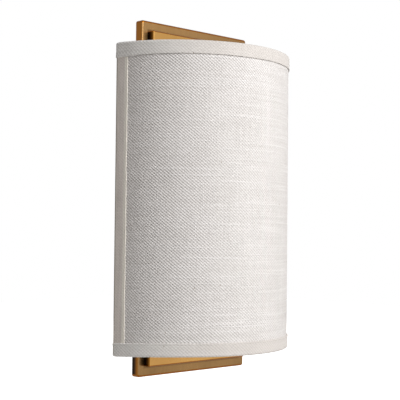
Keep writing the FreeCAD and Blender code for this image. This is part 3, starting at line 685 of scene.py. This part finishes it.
def cover(material):
    """The linen sheet laid round the liner, with raised slubs along its threads, and its flat size."""
    radius = COVER_RADIUS - COVER_THICKNESS / 2
    length = 2 * half_turn(radius, COVER_HIGH.y) * radius
    height = COVER_HIGH.z - COVER_LOW.z
    edge = COVER_THICKNESS / 2
    places = stations(length, WARP_PITCH, edge), stations(height, WEFT_PITCH, edge)
    along, up = np.meshgrid(*places, indexing="ij")
    x, y = on_arc(radius, (along - length / 2) / radius)
    relief = ripple(along, (43 * MM, 71 * MM), COVER_WAVE, 5) * ripple(up, (59 * MM, 97 * MM), 1.0, 6)
    for _ in range(SLUB_COUNT):
        relief += slub(along, up, length, height)
    relief = np.clip(relief, -COVER_WAVE, SLUB_HEIGHT)
    round_off = rounding(along, length, edge) * rounding(up, height, edge)
    outer = (COVER_THICKNESS / 2 + relief) * round_off
    inner = COVER_THICKNESS / 2 * round_off
    centre = np.stack([x, y, COVER_LOW.z + up], 2)
    obj = cloth_body("linen_cover", centre, outer, inner, np.stack([along, up], 2))
    dress(obj, material, "shade", "linen", "shade_cover")
    return obj, (length, height)


# ---- shade: the tapes ----

FOLD_STEP = 0.8 * MM
ACROSS_STEP = 1.2 * MM
ALONG_STEP = 1.6 * MM


def folded_tape(corners, fold_radius, thickness, length, back_from_edge=()):
    """The grid of a tape that is folded over an edge.

    It gives each point's place along and across the tape, its two coordinates in the section, the tape's
    width, and each point's share of the thickness, which is less near the edges. corners are the section's
    free ends with its folds between, and back_from_edge more places, counted from its last end.
    """
    section, along = fold_profile(*corners, fold_radius, FOLD_STEP)
    width = along[-1]
    edge = thickness / 2
    across = np.unique(np.concatenate([stations(width, ACROSS_STEP, edge), along[1:-1],
                                       width - np.array(back_from_edge)]))
    place, t = np.meshgrid(stations(length, ALONG_STEP, edge), across, indexing="ij")
    first, second = [np.broadcast_to(np.interp(across, along, values), place.shape).copy()
                     for values in section.T]
    round_off = rounding(place, length, edge) * rounding(t, width, edge)
    return place, t, first, second, width, round_off


# How loose the rim tapes are: the width that is free of the shade, the share of the length that sags, how
# far from its ends a tape stands off, its lip, and the wave lengths and height of its wander and its puffs.
RIM_FREE_WIDTH = 6 * MM
RIM_WANDER = ((23 * MM, 61 * MM, 9 * MM), 0.10 * MM)
SAG_SHARE = 0.3
FLARE_REACH = 11 * MM
LIP_PLACE = 0.9 * MM
LIP_WIDTH = 0.8 * MM
PUFF = ((31 * MM, 17 * MM), 0.05 * MM)


def rim_tape(word, rim, inward, material, flare, seed):
    """Tape folded over a rim. inward is -1 at the top and 1 at the bottom; flare lifts its ends."""
    outer = TAPE_RADIUS - TAPE_THICKNESS / 2
    inner = INNER_RADIUS - TAPE_THICKNESS / 2
    level = rim + inward * TAPE_THICKNESS / 2
    length = 2 * half_turn(outer, SHADE_BACK) * outer
    corners = ((inner, rim + inward * TAPE_INNER_LEG), (inner, level), (outer, level),
               (outer, rim + inward * TAPE_LEG))
    arc, t, radius, z, width, round_off = folded_tape(corners, TAPE_FOLD_RADIUS, TAPE_THICKNESS, length)

    free = np.clip((t - width + RIM_FREE_WIDTH) / RIM_FREE_WIDTH, 0, 1)
    z += free * ripple(arc, *RIM_WANDER, seed) * inward
    to_end = np.minimum(arc, length - arc)
    toward_left = np.clip(1 - arc / (SAG_SHARE * length), 0, 1) ** 2.5
    z -= TAPE_SAG * toward_left * (1 if inward > 0 else free)
    corner = np.clip((TAPE_CORNER - to_end) / TAPE_CORNER, 0, 1)
    near_rim = np.clip(1 - np.abs(z - rim) / TAPE_CORNER, 0, 1)
    z += inward * TAPE_CORNER_DROP * (1 - np.sqrt(1 - corner ** 2)) * near_rim

    reach = np.arccos(np.clip((AXIS_Y - SHADE_BACK) / radius, -1, 1))
    angle = (arc / length * 2 - 1) * reach
    x, y = on_arc(radius, angle)
    half = TAPE_THICKNESS / 2 * round_off
    lip = TAPE_LIP * (1 if inward > 0 else 0.15) * bell(t - width + LIP_PLACE, LIP_WIDTH) * round_off
    offsets = (half, half + lip) if inward < 0 else (half + lip, half)
    obj = cloth_body("tape_" + word, np.stack([x, y, z], 2), *offsets, np.stack([arc, t * inward], 2))

    puff = ripple(arc, *PUFF, seed + 2) * np.sin(pi * t / width)
    puff += flare * np.exp(-to_end / FLARE_REACH) * (0.3 + 0.7 * free ** 2)
    away = np.stack([np.sin(angle), -np.cos(angle), np.zeros_like(angle)], 2)
    shift_body(obj, away * (puff * round_off)[..., None])
    return dress(obj, material, "shade", "linen_tape", "trim_" + word)


# The end tapes: their free width, how the edge wanders, the room that they leave for the rails and the share
# of a leg that stays there, the welt's section in shares of its width, its lumps, and the crumples.
END_FREE_WIDTH = 5 * MM
END_WANDER = ((140 * MM, 47 * MM, 13 * MM, 6 * MM), 0.20 * MM)
RAIL_ROOM = 0.9 * MM
SQUASHED = 0.02
WELT_CREST = 0.6
WELT_FALL = 0.8
WELT_PLACES = WELT_WIDTH * np.linspace(0, 2.4, 16)
WELT_LUMPS = ((5 * MM, 11 * MM, 3.2 * MM), 0.08)
CRUMPLE = ((3.3 * MM, 4.4 * MM, 8 * MM), 0.15 * MM)


def clear_of_rails(depth, t, level, end_depth):
    """The depths of an end tape, with its inner leg folded short where the rails pass."""
    at_rail = np.zeros(level.shape, bool)
    for low, high in (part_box("rail_bottom"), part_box("rail_top")):
        at_rail |= (level > low.z - MM) & (level < high.z + MM)
    tucked = (t < TAPE_INNER_LEG - RAIL_ROOM) & at_rail
    return np.where(tucked, end_depth + RAIL_ROOM + (depth - end_depth) * SQUASHED, depth)


def welt_bead(back, up, height, seed):
    """The welt's shape, 1 high at its crest. back is the distance behind the edge, in widths of the welt."""
    rise = np.sin(pi / 2 * np.clip(back / WELT_CREST, 0, 1))
    bead = np.where(back < WELT_CREST, rise, bell(back - WELT_CREST, WELT_FALL))
    bead *= 1 + ripple(up, *WELT_LUMPS, seed)
    return bead * (np.clip(up / UNDERLAP_LOW, 0, 1) * np.clip((height - up) / UNDERLAP_HIGH, 0, 1))


def end_tape(word, side, material):
    """Tape folded round an upright end, with a raised welt along its front. side is -1 at the left."""
    low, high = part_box("trim_" + word)
    bottom = low.z - UNDERLAP_LOW
    height = high.z + UNDERLAP_HIGH - bottom
    outer = COVER_RADIUS + GLUE + END_THICKNESS / 2
    inner = INNER_RADIUS - END_THICKNESS / 2
    end_depth = -SHADE_BACK
    level = end_depth + END_THICKNESS / 2
    corners = ((inner, end_depth + TAPE_INNER_LEG), (inner, level), (outer, level),
               (outer, end_depth + END_LEG))
    up, t, radius, depth, width, round_off = folded_tape(corners, END_FOLD_RADIUS, END_THICKNESS,
                                                         height, WELT_PLACES)

    free = np.clip((t - width + END_FREE_WIDTH) / END_FREE_WIDTH, 0, 1)
    depth += free * ripple(up, *END_WANDER, 31 + side)
    depth = clear_of_rails(depth, t, bottom + up, end_depth)
    reach = np.sqrt(radius ** 2 - (depth + AXIS_Y) ** 2)
    centre = np.stack([side * reach, -depth, bottom + up], 2)

    half = END_THICKNESS / 2
    bead = welt_bead((width - t) / WELT_WIDTH, up, height, 41 + side)
    crumple = ripple(up, *CRUMPLE, 51 + side)
    outside, inside = (half + WELT_HEIGHT * bead + crumple) * round_off, half * round_off
    offsets = (outside, inside) if side < 0 else (inside, outside)
    from_welt = t - width
    obj = cloth_body("tape_" + word, centre, *offsets, np.stack([-side * from_welt, up], 2))
    return dress(obj, material, "shade", "linen_tape", "trim_" + word)


# ---- the base pan ----

PLATE_CORNER = 2.8 * MM
PLATE_EDGE = 2.0 * MM
TRIM_EASE = 0.01 * MM
SAME_POINT = 0.001 * MM


def rounded_block(low, high, corner, edge):
    """A block with rounded corners, and rounded edges round its front face."""
    body = bmesh.new()
    bmesh.ops.create_cube(body, size=1)
    for point in body.verts:
        point.co = [(b if c > 0 else a) for a, b, c in zip(low, high, point.co)]
    square = [line for line in body.edges if abs(line.verts[0].co.y - line.verts[1].co.y) > MM]
    bmesh.ops.bevel(body, geom=square, offset=corner, segments=6, profile=0.5, affect="EDGES")
    front = [line for line in body.edges
             if all(abs(point.co.y - low[1]) < TRIM_EASE for point in line.verts)]
    bmesh.ops.bevel(body, geom=front, offset=edge, segments=5, profile=0.5, affect="EDGES")
    return placed_body("block", body)


def rounded_pan(material):
    """The base pan with its corners and front edges rounded as softly as pressed and polished sheet is."""
    low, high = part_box("base_pan")
    body = bmesh.new()
    body.from_mesh(nodes["base_pan"].data)
    bmesh.ops.remove_doubles(body, verts=body.verts, dist=SAME_POINT)
    pan = placed_body("rounded_pan", body)
    ease = Vector((TRIM_EASE, TRIM_EASE, TRIM_EASE))
    combined(pan, "INTERSECT", [rounded_block(low - ease, high + ease, PLATE_CORNER, PLATE_EDGE)])
    for face in pan.data.polygons:
        face.use_smooth = max(abs(part) for part in face.normal) < 0.9999
    pan.data.materials.clear()
    return dress(pan, material, "backplate", "antique_brass", "base_pan")


# ---- turned, threaded and slotted pieces ----

INTO_ROOM = (0, -1, 0)
INTO_WALL = (0, 1, 0)
SCREW_COLUMNS = 48
ROWS_PER_THREAD = 6


def turned(name, outline, origin, axis, columns=SCREW_COLUMNS, shaped=None, bored=False):
    """A body turned about an axis, from an outline of (radius, distance along the axis) in metres.

    A bored piece's outline is a loop; any other's ends in two flat faces. shaped(radius, along, angle) gives
    the radius of a thread or a knurl.
    """
    outline = np.array(outline, float)
    turns = np.linspace(0, 2 * pi, columns, endpoint=False)
    radius, angle = np.meshgrid(outline[:, 0], turns, indexing="ij")
    along = np.repeat(outline[:, 1:2], columns, axis=1)
    if shaped:
        radius = shaped(radius, along, angle)
    axis = Vector(axis).normalized()
    side = axis.orthogonal().normalized()
    frame_axes = np.array([side, axis.cross(side), axis])
    local = np.stack([radius * np.cos(angle), radius * np.sin(angle), along], 2).reshape(-1, 3)
    points = local @ frame_axes + np.array(origin)
    return close_up(mesh_object(name, points, grid_quads(len(outline), columns, bored, True)))


def thread(crest, low, high, pitch, depth):
    """A screw thread on the stretch of an outline from low to high whose radius is the crest's."""
    def shaped(radius, along, angle):
        fade = np.clip(np.minimum(along - low, high - along) / pitch, 0, 1)
        wave = 0.5 - 0.5 * np.cos(2 * pi * (along / pitch - angle / (2 * pi)))
        on_crest = np.abs(radius - crest) < SAME_POINT
        return radius - np.where(on_crest, depth * fade * wave, 0)
    return shaped


def profile(start, *points):
    """Points of an outline, given in millimetres as (radius, distance past start)."""
    return [(radius * MM, start + past * MM) for radius, past in points]


def fine_rows(radius, low, high, step):
    """Points of an outline along a straight stretch, close enough for a thread or a knurl."""
    count = max(2, ceil(abs(high - low) / step))
    return [(radius, low + (high - low) * i / count) for i in range(count + 1)]


def bar(middle, half, turn):
    """A bar along the wall, turned in the wall's plane."""
    corners = np.array([(x, y, z) for x in (-1, 1) for y in (-1, 1) for z in (-1, 1)]) * np.array(half)
    quads = np.array([(0, 1, 3, 2), (4, 6, 7, 5), (0, 4, 5, 1), (2, 3, 7, 6), (0, 2, 6, 4), (1, 5, 7, 3)])
    spin = np.array(Matrix.Rotation(turn, 3, "Y"))
    return close_up(mesh_object("bar", corners @ spin.T + np.array(middle), quads))


NUT_RADIUS = 6.0 * MM
KNURL_TEETH = 48
KNURL_DEPTH = 0.22 * MM
KNURL_STEP = 0.5 * MM


def knurl(radius, along, angle):
    """Straight knurling round the widest part of a thumb nut."""
    tooth = 0.5 - 0.5 * np.cos(KNURL_TEETH * angle)
    return radius - np.where(np.abs(radius - NUT_RADIUS) < SAME_POINT, KNURL_DEPTH * tooth, 0)


def thumb_nut(word, material):
    """A knurled thumb nut with a smaller shoulder towards the rail and a dished face."""
    low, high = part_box("shade_nut_" + word)
    length = high.y - low.y
    outline = profile(0, (2.05, 0.3), (2.35, 0), (4.3, 0), (4.6, 0.3), (4.6, 1.5), (5.3, 1.7), (5.75, 2.0))
    outline += fine_rows(NUT_RADIUS, 2.3 * MM, length - 0.6 * MM, KNURL_STEP)
    outline += profile(length, (5.75, -0.3), (5.3, 0), (4.4, 0), (4.0, -0.35), (2.7, -0.35), (2.05, -0.7))
    middle = (low + high) / 2
    origin = (middle.x, high.y, middle.z)
    nut = turned("thumb_nut_" + word, outline, origin, INTO_ROOM, 4 * KNURL_TEETH, knurl, True)
    return dress(nut, material, word + "_nut", "antique_brass", "shade_nut_" + word)


FINE_PITCH = 0.7 * MM
POST_THREAD = 0.16 * MM


def threaded(radius, low, high, depth):
    """Points of an outline along a fine thread, and what cuts the thread."""
    rows = fine_rows(radius, low, high, FINE_PITCH / ROWS_PER_THREAD)
    return rows, thread(radius, low, high, FINE_PITCH, depth)


def posts(material):
    """The four shouldered posts, riveted into the panel, with threaded ends for the thumb nuts."""
    low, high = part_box("shade_posts")
    neck, shoulder = 2.0 * MM, 4.5 * MM
    back, face, seat, tip = -high.y, 16.8 * MM, 19.5 * MM, -low.y
    rows, cutting = threaded(neck, seat + 1.2 * MM, tip - 0.4 * MM, POST_THREAD)
    outline = profile(back, (3.3, 0), (3.5, 0.2), (3.5, 1.0), (2.5, 1.0))
    outline += profile(face, (2.5, 0), (4.2, 0), (4.5, 0.3)) + profile(seat, (4.5, -0.3), (4.2, 0), (2.0, 0))
    outline += rows + profile(tip, (1.6, 0))
    across = high.x - shoulder
    places = [(side * across, level) for side in (-1, 1) for level in (low.z + shoulder, high.z - shoulder)]
    made = [turned("post", outline, (x, 0, z), INTO_ROOM, shaped=cutting) for x, z in places]
    return dress(joined("threaded_posts", made), material, "backplate", "antique_brass", "shade_posts")


BRACKET_SCREW_THREAD = 0.18 * MM
RECESS_HALF = (1.9 * MM, 1.1 * MM, 0.42 * MM)
RECESS_TURNS = ((-1, 0.5), (1, 1.1))


def bracket_screws(material):
    """The two pan-head screws of the lamp bracket, with cross recesses."""
    low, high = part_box("bracket_screws")
    head, shank = 3.75 * MM, 2.0 * MM
    tip, seat, top = -high.y, 18.8 * MM, -low.y
    rows, cutting = threaded(shank, tip + 0.4 * MM, seat - MM, BRACKET_SCREW_THREAD)
    outline = profile(tip, (1.6, 0)) + rows
    outline += profile(seat, (2.0, 0), (3.55, 0), (3.75, 0.2), (3.75, 1.3), (3.55, 1.75), (3.1, 2.1))
    outline += profile(top, (2.3, -0.1), (1.2, 0))
    made = []
    for side, turn in RECESS_TURNS:
        across = side * (high.x - head)
        screw = turned("screw", outline, (across, 0, 0), INTO_ROOM, shaped=cutting)
        recess = [bar((across, -top, 0), RECESS_HALF, turn + quarter) for quarter in (0, pi / 2)]
        made.append(combined(screw, "DIFFERENCE", recess))
    return dress(joined("cross_head_screws", made), material, "backplate", "zinc_steel", "bracket_screws")


SLOT_HALF = (3 * MM, 0.7 * MM, 0.28 * MM)


def terminal_screws(material):
    """The six slotted screws of the terminal block, each left at another angle."""
    low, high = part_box("terminal_screws")
    radius = 1.8 * MM
    outline = profile(0, (1.65, 0), (1.8, 0.15)) + profile(high.y - low.y, (1.8, -0.25), (1.55, 0))
    made = []
    for column, x in enumerate((low.x + radius, 0, high.x - radius)):
        for row, z in enumerate((low.z + radius, high.z - radius)):
            screw = turned("screw", outline, (x, low.y, z), INTO_WALL, 40)
            slot = bar((x, high.y, z), SLOT_HALF, 0.4 + 1.1 * column + 0.7 * row)
            made.append(combined(screw, "DIFFERENCE", [slot]))
    return dress(joined("slotted_screws", made), material, "backplate", "zinc_steel", "terminal_screws")


# ---- lamp caps and lampholders ----

CAP_PITCH = 3.63 * MM
CAP_THREAD = 0.7 * MM
CAP_COLUMNS = 96
CAP_STEP = 0.3 * MM
SHELL_WALL = 0.6 * MM
SHELL_THREAD = 0.3 * MM


def upright_place(node):
    """Where a lamp's cap or its holder's shell starts and ends along its axis, and the axis."""
    low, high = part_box(node)
    up = 1 if node.endswith("upper") else -1
    near, far = sorted((abs(low.z), abs(high.z)))
    return near, far, (0, (low.y + high.y) / 2, 0), (0, 0, up)


def lamp_cap(word, nickel, glass, solder):
    """The screw cap of a lamp: a rolled thread, a dark glass insulator and a contact of solder."""
    node = "lamp_cap_" + word
    tip, foot, origin, axis = upright_place(node)
    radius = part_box(node)[1].x
    thread_low = tip + 4.2 * MM
    shell = profile(tip, (11.3, 2.9), (11.9, 3.3), (12.5, 3.8))
    shell += fine_rows(radius, thread_low, foot, CAP_STEP)
    insulator = profile(tip, (4.6, 1.2), (5.6, 1.2), (8.6, 1.9), (11.0, 2.6), (11.2, 2.9))
    contact = profile(tip, (1.2, 0), (2.6, 0.15), (3.7, 0.6), (4.5, 1.2))
    cutting = thread(radius, thread_low, foot - 1.5 * MM, CAP_PITCH, CAP_THREAD)
    for name, outline, shaped, material in (("screw_cap_", shell, cutting, nickel),
                                            ("cap_glass_", insulator, None, glass),
                                            ("cap_contact_", contact, None, solder)):
        piece = turned(name + word, outline, origin, axis, CAP_COLUMNS, shaped)
        dress(piece, material, word + "_lamp", "lamp_nickel", node)


def holder_shell(word, material):
    """The screwed shell of a lampholder, rolled from thin brass."""
    node = "holder_shell_" + word
    near, far, origin, axis = upright_place(node)
    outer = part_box(node)[1].x
    inner = outer - SHELL_WALL
    outline = fine_rows(outer, near, far, CAP_STEP) + fine_rows(inner, far, near, CAP_STEP)
    groove = thread(inner, near, far - MM, CAP_PITCH, SHELL_THREAD)

    def rolled(radius, along, angle):
        wall = np.where(radius > inner + SHELL_WALL / 2, outer - inner, 0)
        return groove(np.full_like(radius, inner), along, angle) + wall
    shell = turned("screw_shell_" + word, outline, origin, axis, CAP_COLUMNS, rolled, True)
    return dress(shell, material, "backplate", "contact_brass", node)


# ---- camera, lights and stage ----

AZIMUTH = radians(44.671)
RISE = radians(1.827)
ROLL = 0.010
EYE_DISTANCE = 1.0972
LENS_MM = 94.71
SENSOR_MM = 36
AIM = Vector((3.9, -12.6, 0.0)) * MM
WHITE = (1, 1, 1, 1)
WARM = (1.0, 0.90, 0.82)
FILL = 0.03
FLOOR_DROP = 0.16
FLOOR_HALF = 3.0
FLOOR_LIGHT = (236, 235, 233)
FLOOR_DARK = (232, 231, 229)


def camera():
    """A camera at the photograph's viewing angle, rolled by a hair as it was."""
    data = bpy.data.cameras.new("camera")
    data.lens = LENS_MM
    data.sensor_width = SENSOR_MM
    ahead = Vector((sin(AZIMUTH) * cos(RISE), cos(AZIMUTH) * cos(RISE), sin(RISE)))
    level = Vector((cos(AZIMUTH), -sin(AZIMUTH), 0))
    upright = level.cross(ahead)
    right = level * cos(ROLL) + upright * sin(ROLL)
    up = upright * cos(ROLL) - level * sin(ROLL)
    turn = Matrix((right, up, -ahead)).transposed().to_4x4()
    obj = placed("camera", data)
    obj.matrix_world = Matrix.Translation(AIM - ahead * EYE_DISTANCE) @ turn
    bpy.context.scene.camera = obj


def softbox(name, bearing, height, distance, size, power, colour=WHITE[:3], mirrored=True):
    """A square area lamp, bearing to the right and height upward from straight in front, in degrees."""
    data = bpy.data.lights.new(name, "AREA")
    data.shape = "SQUARE"
    data.size = size
    data.energy = power
    data.color = colour
    turn, rise = radians(bearing), radians(height)
    away = Vector((sin(turn) * cos(rise), -cos(turn) * cos(rise), sin(rise)))
    obj = placed(name, data)
    aimed = away.to_track_quat("Z", "Y").to_matrix().to_4x4()
    obj.matrix_world = Matrix.Translation(away * distance) @ aimed
    obj.visible_glossy = mirrored


def surroundings(fill):
    """A white background where it is seen, and a dimmer even fill on matt surfaces."""
    world = bpy.data.worlds.new("studio")
    world.use_nodes = True
    bpy.context.scene.world = world
    n = Nodes(world.node_tree)
    plain = n.tree.nodes["Background"]
    n.feed(plain.inputs["Color"], WHITE)
    n.feed(plain.inputs["Strength"], n.between(n.seen_directly(), 0, 1, fill, 1))


def floor_paint():
    """Pale paint that fades into the white background far off and is clear from below."""
    f = Finish("floor_paint")
    here = f.place()
    mottle = f.noise(here, 6, 2)
    away = f.add("VectorMath", {0: f.scaled(here, 1, 1, 0)}, operation="LENGTH").outputs["Value"]
    glow = f.fade(away, 0.3, 1.2, 0.80, 1.0)
    f.set(Base_Color=f.mix(mottle, FLOOR_DARK, FLOOR_LIGHT), Roughness=0.95,
          Specular_IOR_Level=0.0, Emission_Color=WHITE,
          Emission_Strength=f.times(f.seen_directly(), glow))
    below = f.add("NewGeometry", {}).outputs["Backfacing"]
    clear = f.add("BsdfTransparent", {}).outputs["BSDF"]
    either = f.add("MixShader", {0: below, 1: f.shader.outputs["BSDF"], 2: clear}).outputs["Shader"]
    f.feed(f.tree.nodes["Material Output"].inputs["Surface"], either)
    return f.material


def studio_floor():
    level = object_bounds()[0].z - FLOOR_DROP
    sides = ((-1, -1), (1, -1), (1, 1), (-1, 1))
    corners = np.array([(x * FLOOR_HALF, y * FLOOR_HALF, level) for x, y in sides])
    obj = mesh_object("floor", corners, np.array([[0, 1, 2, 3]]))
    obj.data.materials.append(floor_paint())


# ---- finishes of the CAD pieces ----

def paint(material, *names):
    for name in names:
        slots = nodes[name].data.materials
        slots.clear()
        slots.append(material)


def finish_backplate():
    """The stepped plate, its domed nuts, and the posts and thumb nuts that hold the shade."""
    panel_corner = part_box("centre_panel")[1]
    # The third colour of each brass is the painted shade of its sides.
    plate = brass("brass_base", (146, 112, 70), (112, 86, 54), (132, 84, 30), foot=1.5 * MM, arris=0.70,
                  foot_at_top=0.05, streak=0.5, corner=panel_corner, rim=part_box("base_pan")[1].z)
    panel = brass("brass_panel", (171, 130, 72), (146, 108, 60), (118, 78, 28), foot=MM - panel_corner.y,
                  arris=0.32, foot_at_top=1.0, streak=0.4)
    turned_brass = metal("brass_turned", (186, 144, 82), 0.28)
    rounded_pan(plate)
    paint(panel, "centre_panel")
    paint(turned_brass, "plate_nut_left", "plate_nut_right")
    posts(turned_brass)
    for word in ("top_left", "top_right", "bottom_left", "bottom_right"):
        thumb_nut(word, turned_brass)


def finish_metalwork():
    """The bar, bracket and small fasteners in zinc, the brass contacts and the lamps' caps."""
    steel = metal("zinc", (192, 194, 197), 0.34, grain=2400, mottle=0.15, cloudy=0.12)
    paint(steel, "crossbar", "plate_studs", "panel_studs", "panel_nuts", "bracket_nuts",
          "block_studs", "block_nuts", "holder_nuts", "lamp_bracket")
    bracket_screws(steel)
    terminal_screws(steel)
    bright = metal("bright_brass", (214, 184, 112), 0.30)
    paint(bright, "earth_tag", "holder_contact_upper", "holder_contact_lower", "holder_nipple_upper",
          "holder_nipple_lower")
    paint(metal("green_screw", (70, 128, 84), 0.4), "earth_screw")
    nickel = metal("nickel", (205, 203, 198), 0.28)
    solder = metal("solder", (186, 188, 190), 0.45, grain=1600)
    cap_glass = moulded("cap_glass", (30, 28, 27), 0.15, grain=500, relief=0.03 * MM, coat=0.5)
    for word in ("upper", "lower"):
        lamp_cap(word, nickel, cap_glass, solder)
        holder_shell(word, bright)


def finish_moulded_pieces():
    """What is glazed, moulded, enamelled or insulated."""
    paint(moulded("porcelain_glaze", (240, 238, 231), 0.16, grain=300, relief=0.05 * MM, coat=0.4),
          "holder_body_upper", "holder_body_lower")
    paint(moulded("lamp_housing", (236, 236, 234), 0.42), "lamp_collar_upper", "lamp_collar_lower")
    paint(moulded("opal", (246, 245, 241), 0.38), "lamp_dome_upper", "lamp_dome_lower")
    paint(moulded("styrene", (244, 242, 237), 0.45, grain=700, relief=0.04 * MM), "shade_liner")
    paint(moulded("white_enamel", (238, 237, 233), 0.34, grain=500, relief=0.06 * MM),
          "ring_top", "ring_bottom", "rail_top", "rail_bottom", "strut_left", "strut_right")
    paint(moulded("grommet_rubber", (38, 38, 38), 0.62), "grommet")
    paint(moulded("block_plastic", (226, 222, 208), 0.48), "terminal_block")
    for name, colour, leads in (("black", (34, 34, 36), ("lead_upper_live", "lead_lower_live")),
                                ("white", (226, 224, 214), ("lead_upper_neutral", "lead_lower_neutral")),
                                ("green", (52, 120, 58), ("earth_lead",))):
        paint(moulded("insulation_" + name, colour, 0.42), *leads)


def dress_shade():
    """The linen cover, its flat size and its four tapes."""
    cover_linen = linen("linen_cover", LINEN, relief=0.62 * MM, contrast=0.42, slubs=1.0, both_ways=0.15,
                        half=COVER_RADIUS * half_turn(COVER_RADIUS, COVER_HIGH.y), calm=30 * MM)
    tape_linen = linen("linen_tape", TAPE_LINEN, relief=0.26 * MM, contrast=0.28, slubs=0.7, both_ways=0.20,
                       half=TAPE_RADIUS * half_turn(TAPE_RADIUS, SHADE_BACK))
    end_linen = linen("linen_end_tape", END_TAPE_LINEN, relief=0.14 * MM, contrast=0.12, slubs=0.6,
                      both_ways=0.2, streaks=0.14, welt=WELT_WIDTH)
    sheet, flat = cover(cover_linen)
    tapes = [rim_tape("top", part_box("trim_top")[1].z, -1, tape_linen, flare=0.9 * MM, seed=11),
             rim_tape("bottom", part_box("trim_bottom")[0].z, 1, tape_linen, flare=0.6 * MM, seed=12),
             end_tape("left", -1, end_linen), end_tape("right", 1, end_linen)]
    return sheet, flat, tapes


# ---- the scene ----

camera()
bpy.context.scene.view_settings.view_transform = "Standard"
surroundings(FILL)
softbox("key", bearing=6, height=32, distance=2.4, size=1.3, power=60)
softbox("back_left", bearing=-140, height=8, distance=1.5, size=0.9, power=2.1, colour=WARM, mirrored=False)
softbox("behind", bearing=152, height=18, distance=2.4, size=1.3, power=18, mirrored=False)
studio_floor()

finish_backplate()
finish_metalwork()
finish_moulded_pieces()
sheet, flat, tapes = dress_shade()
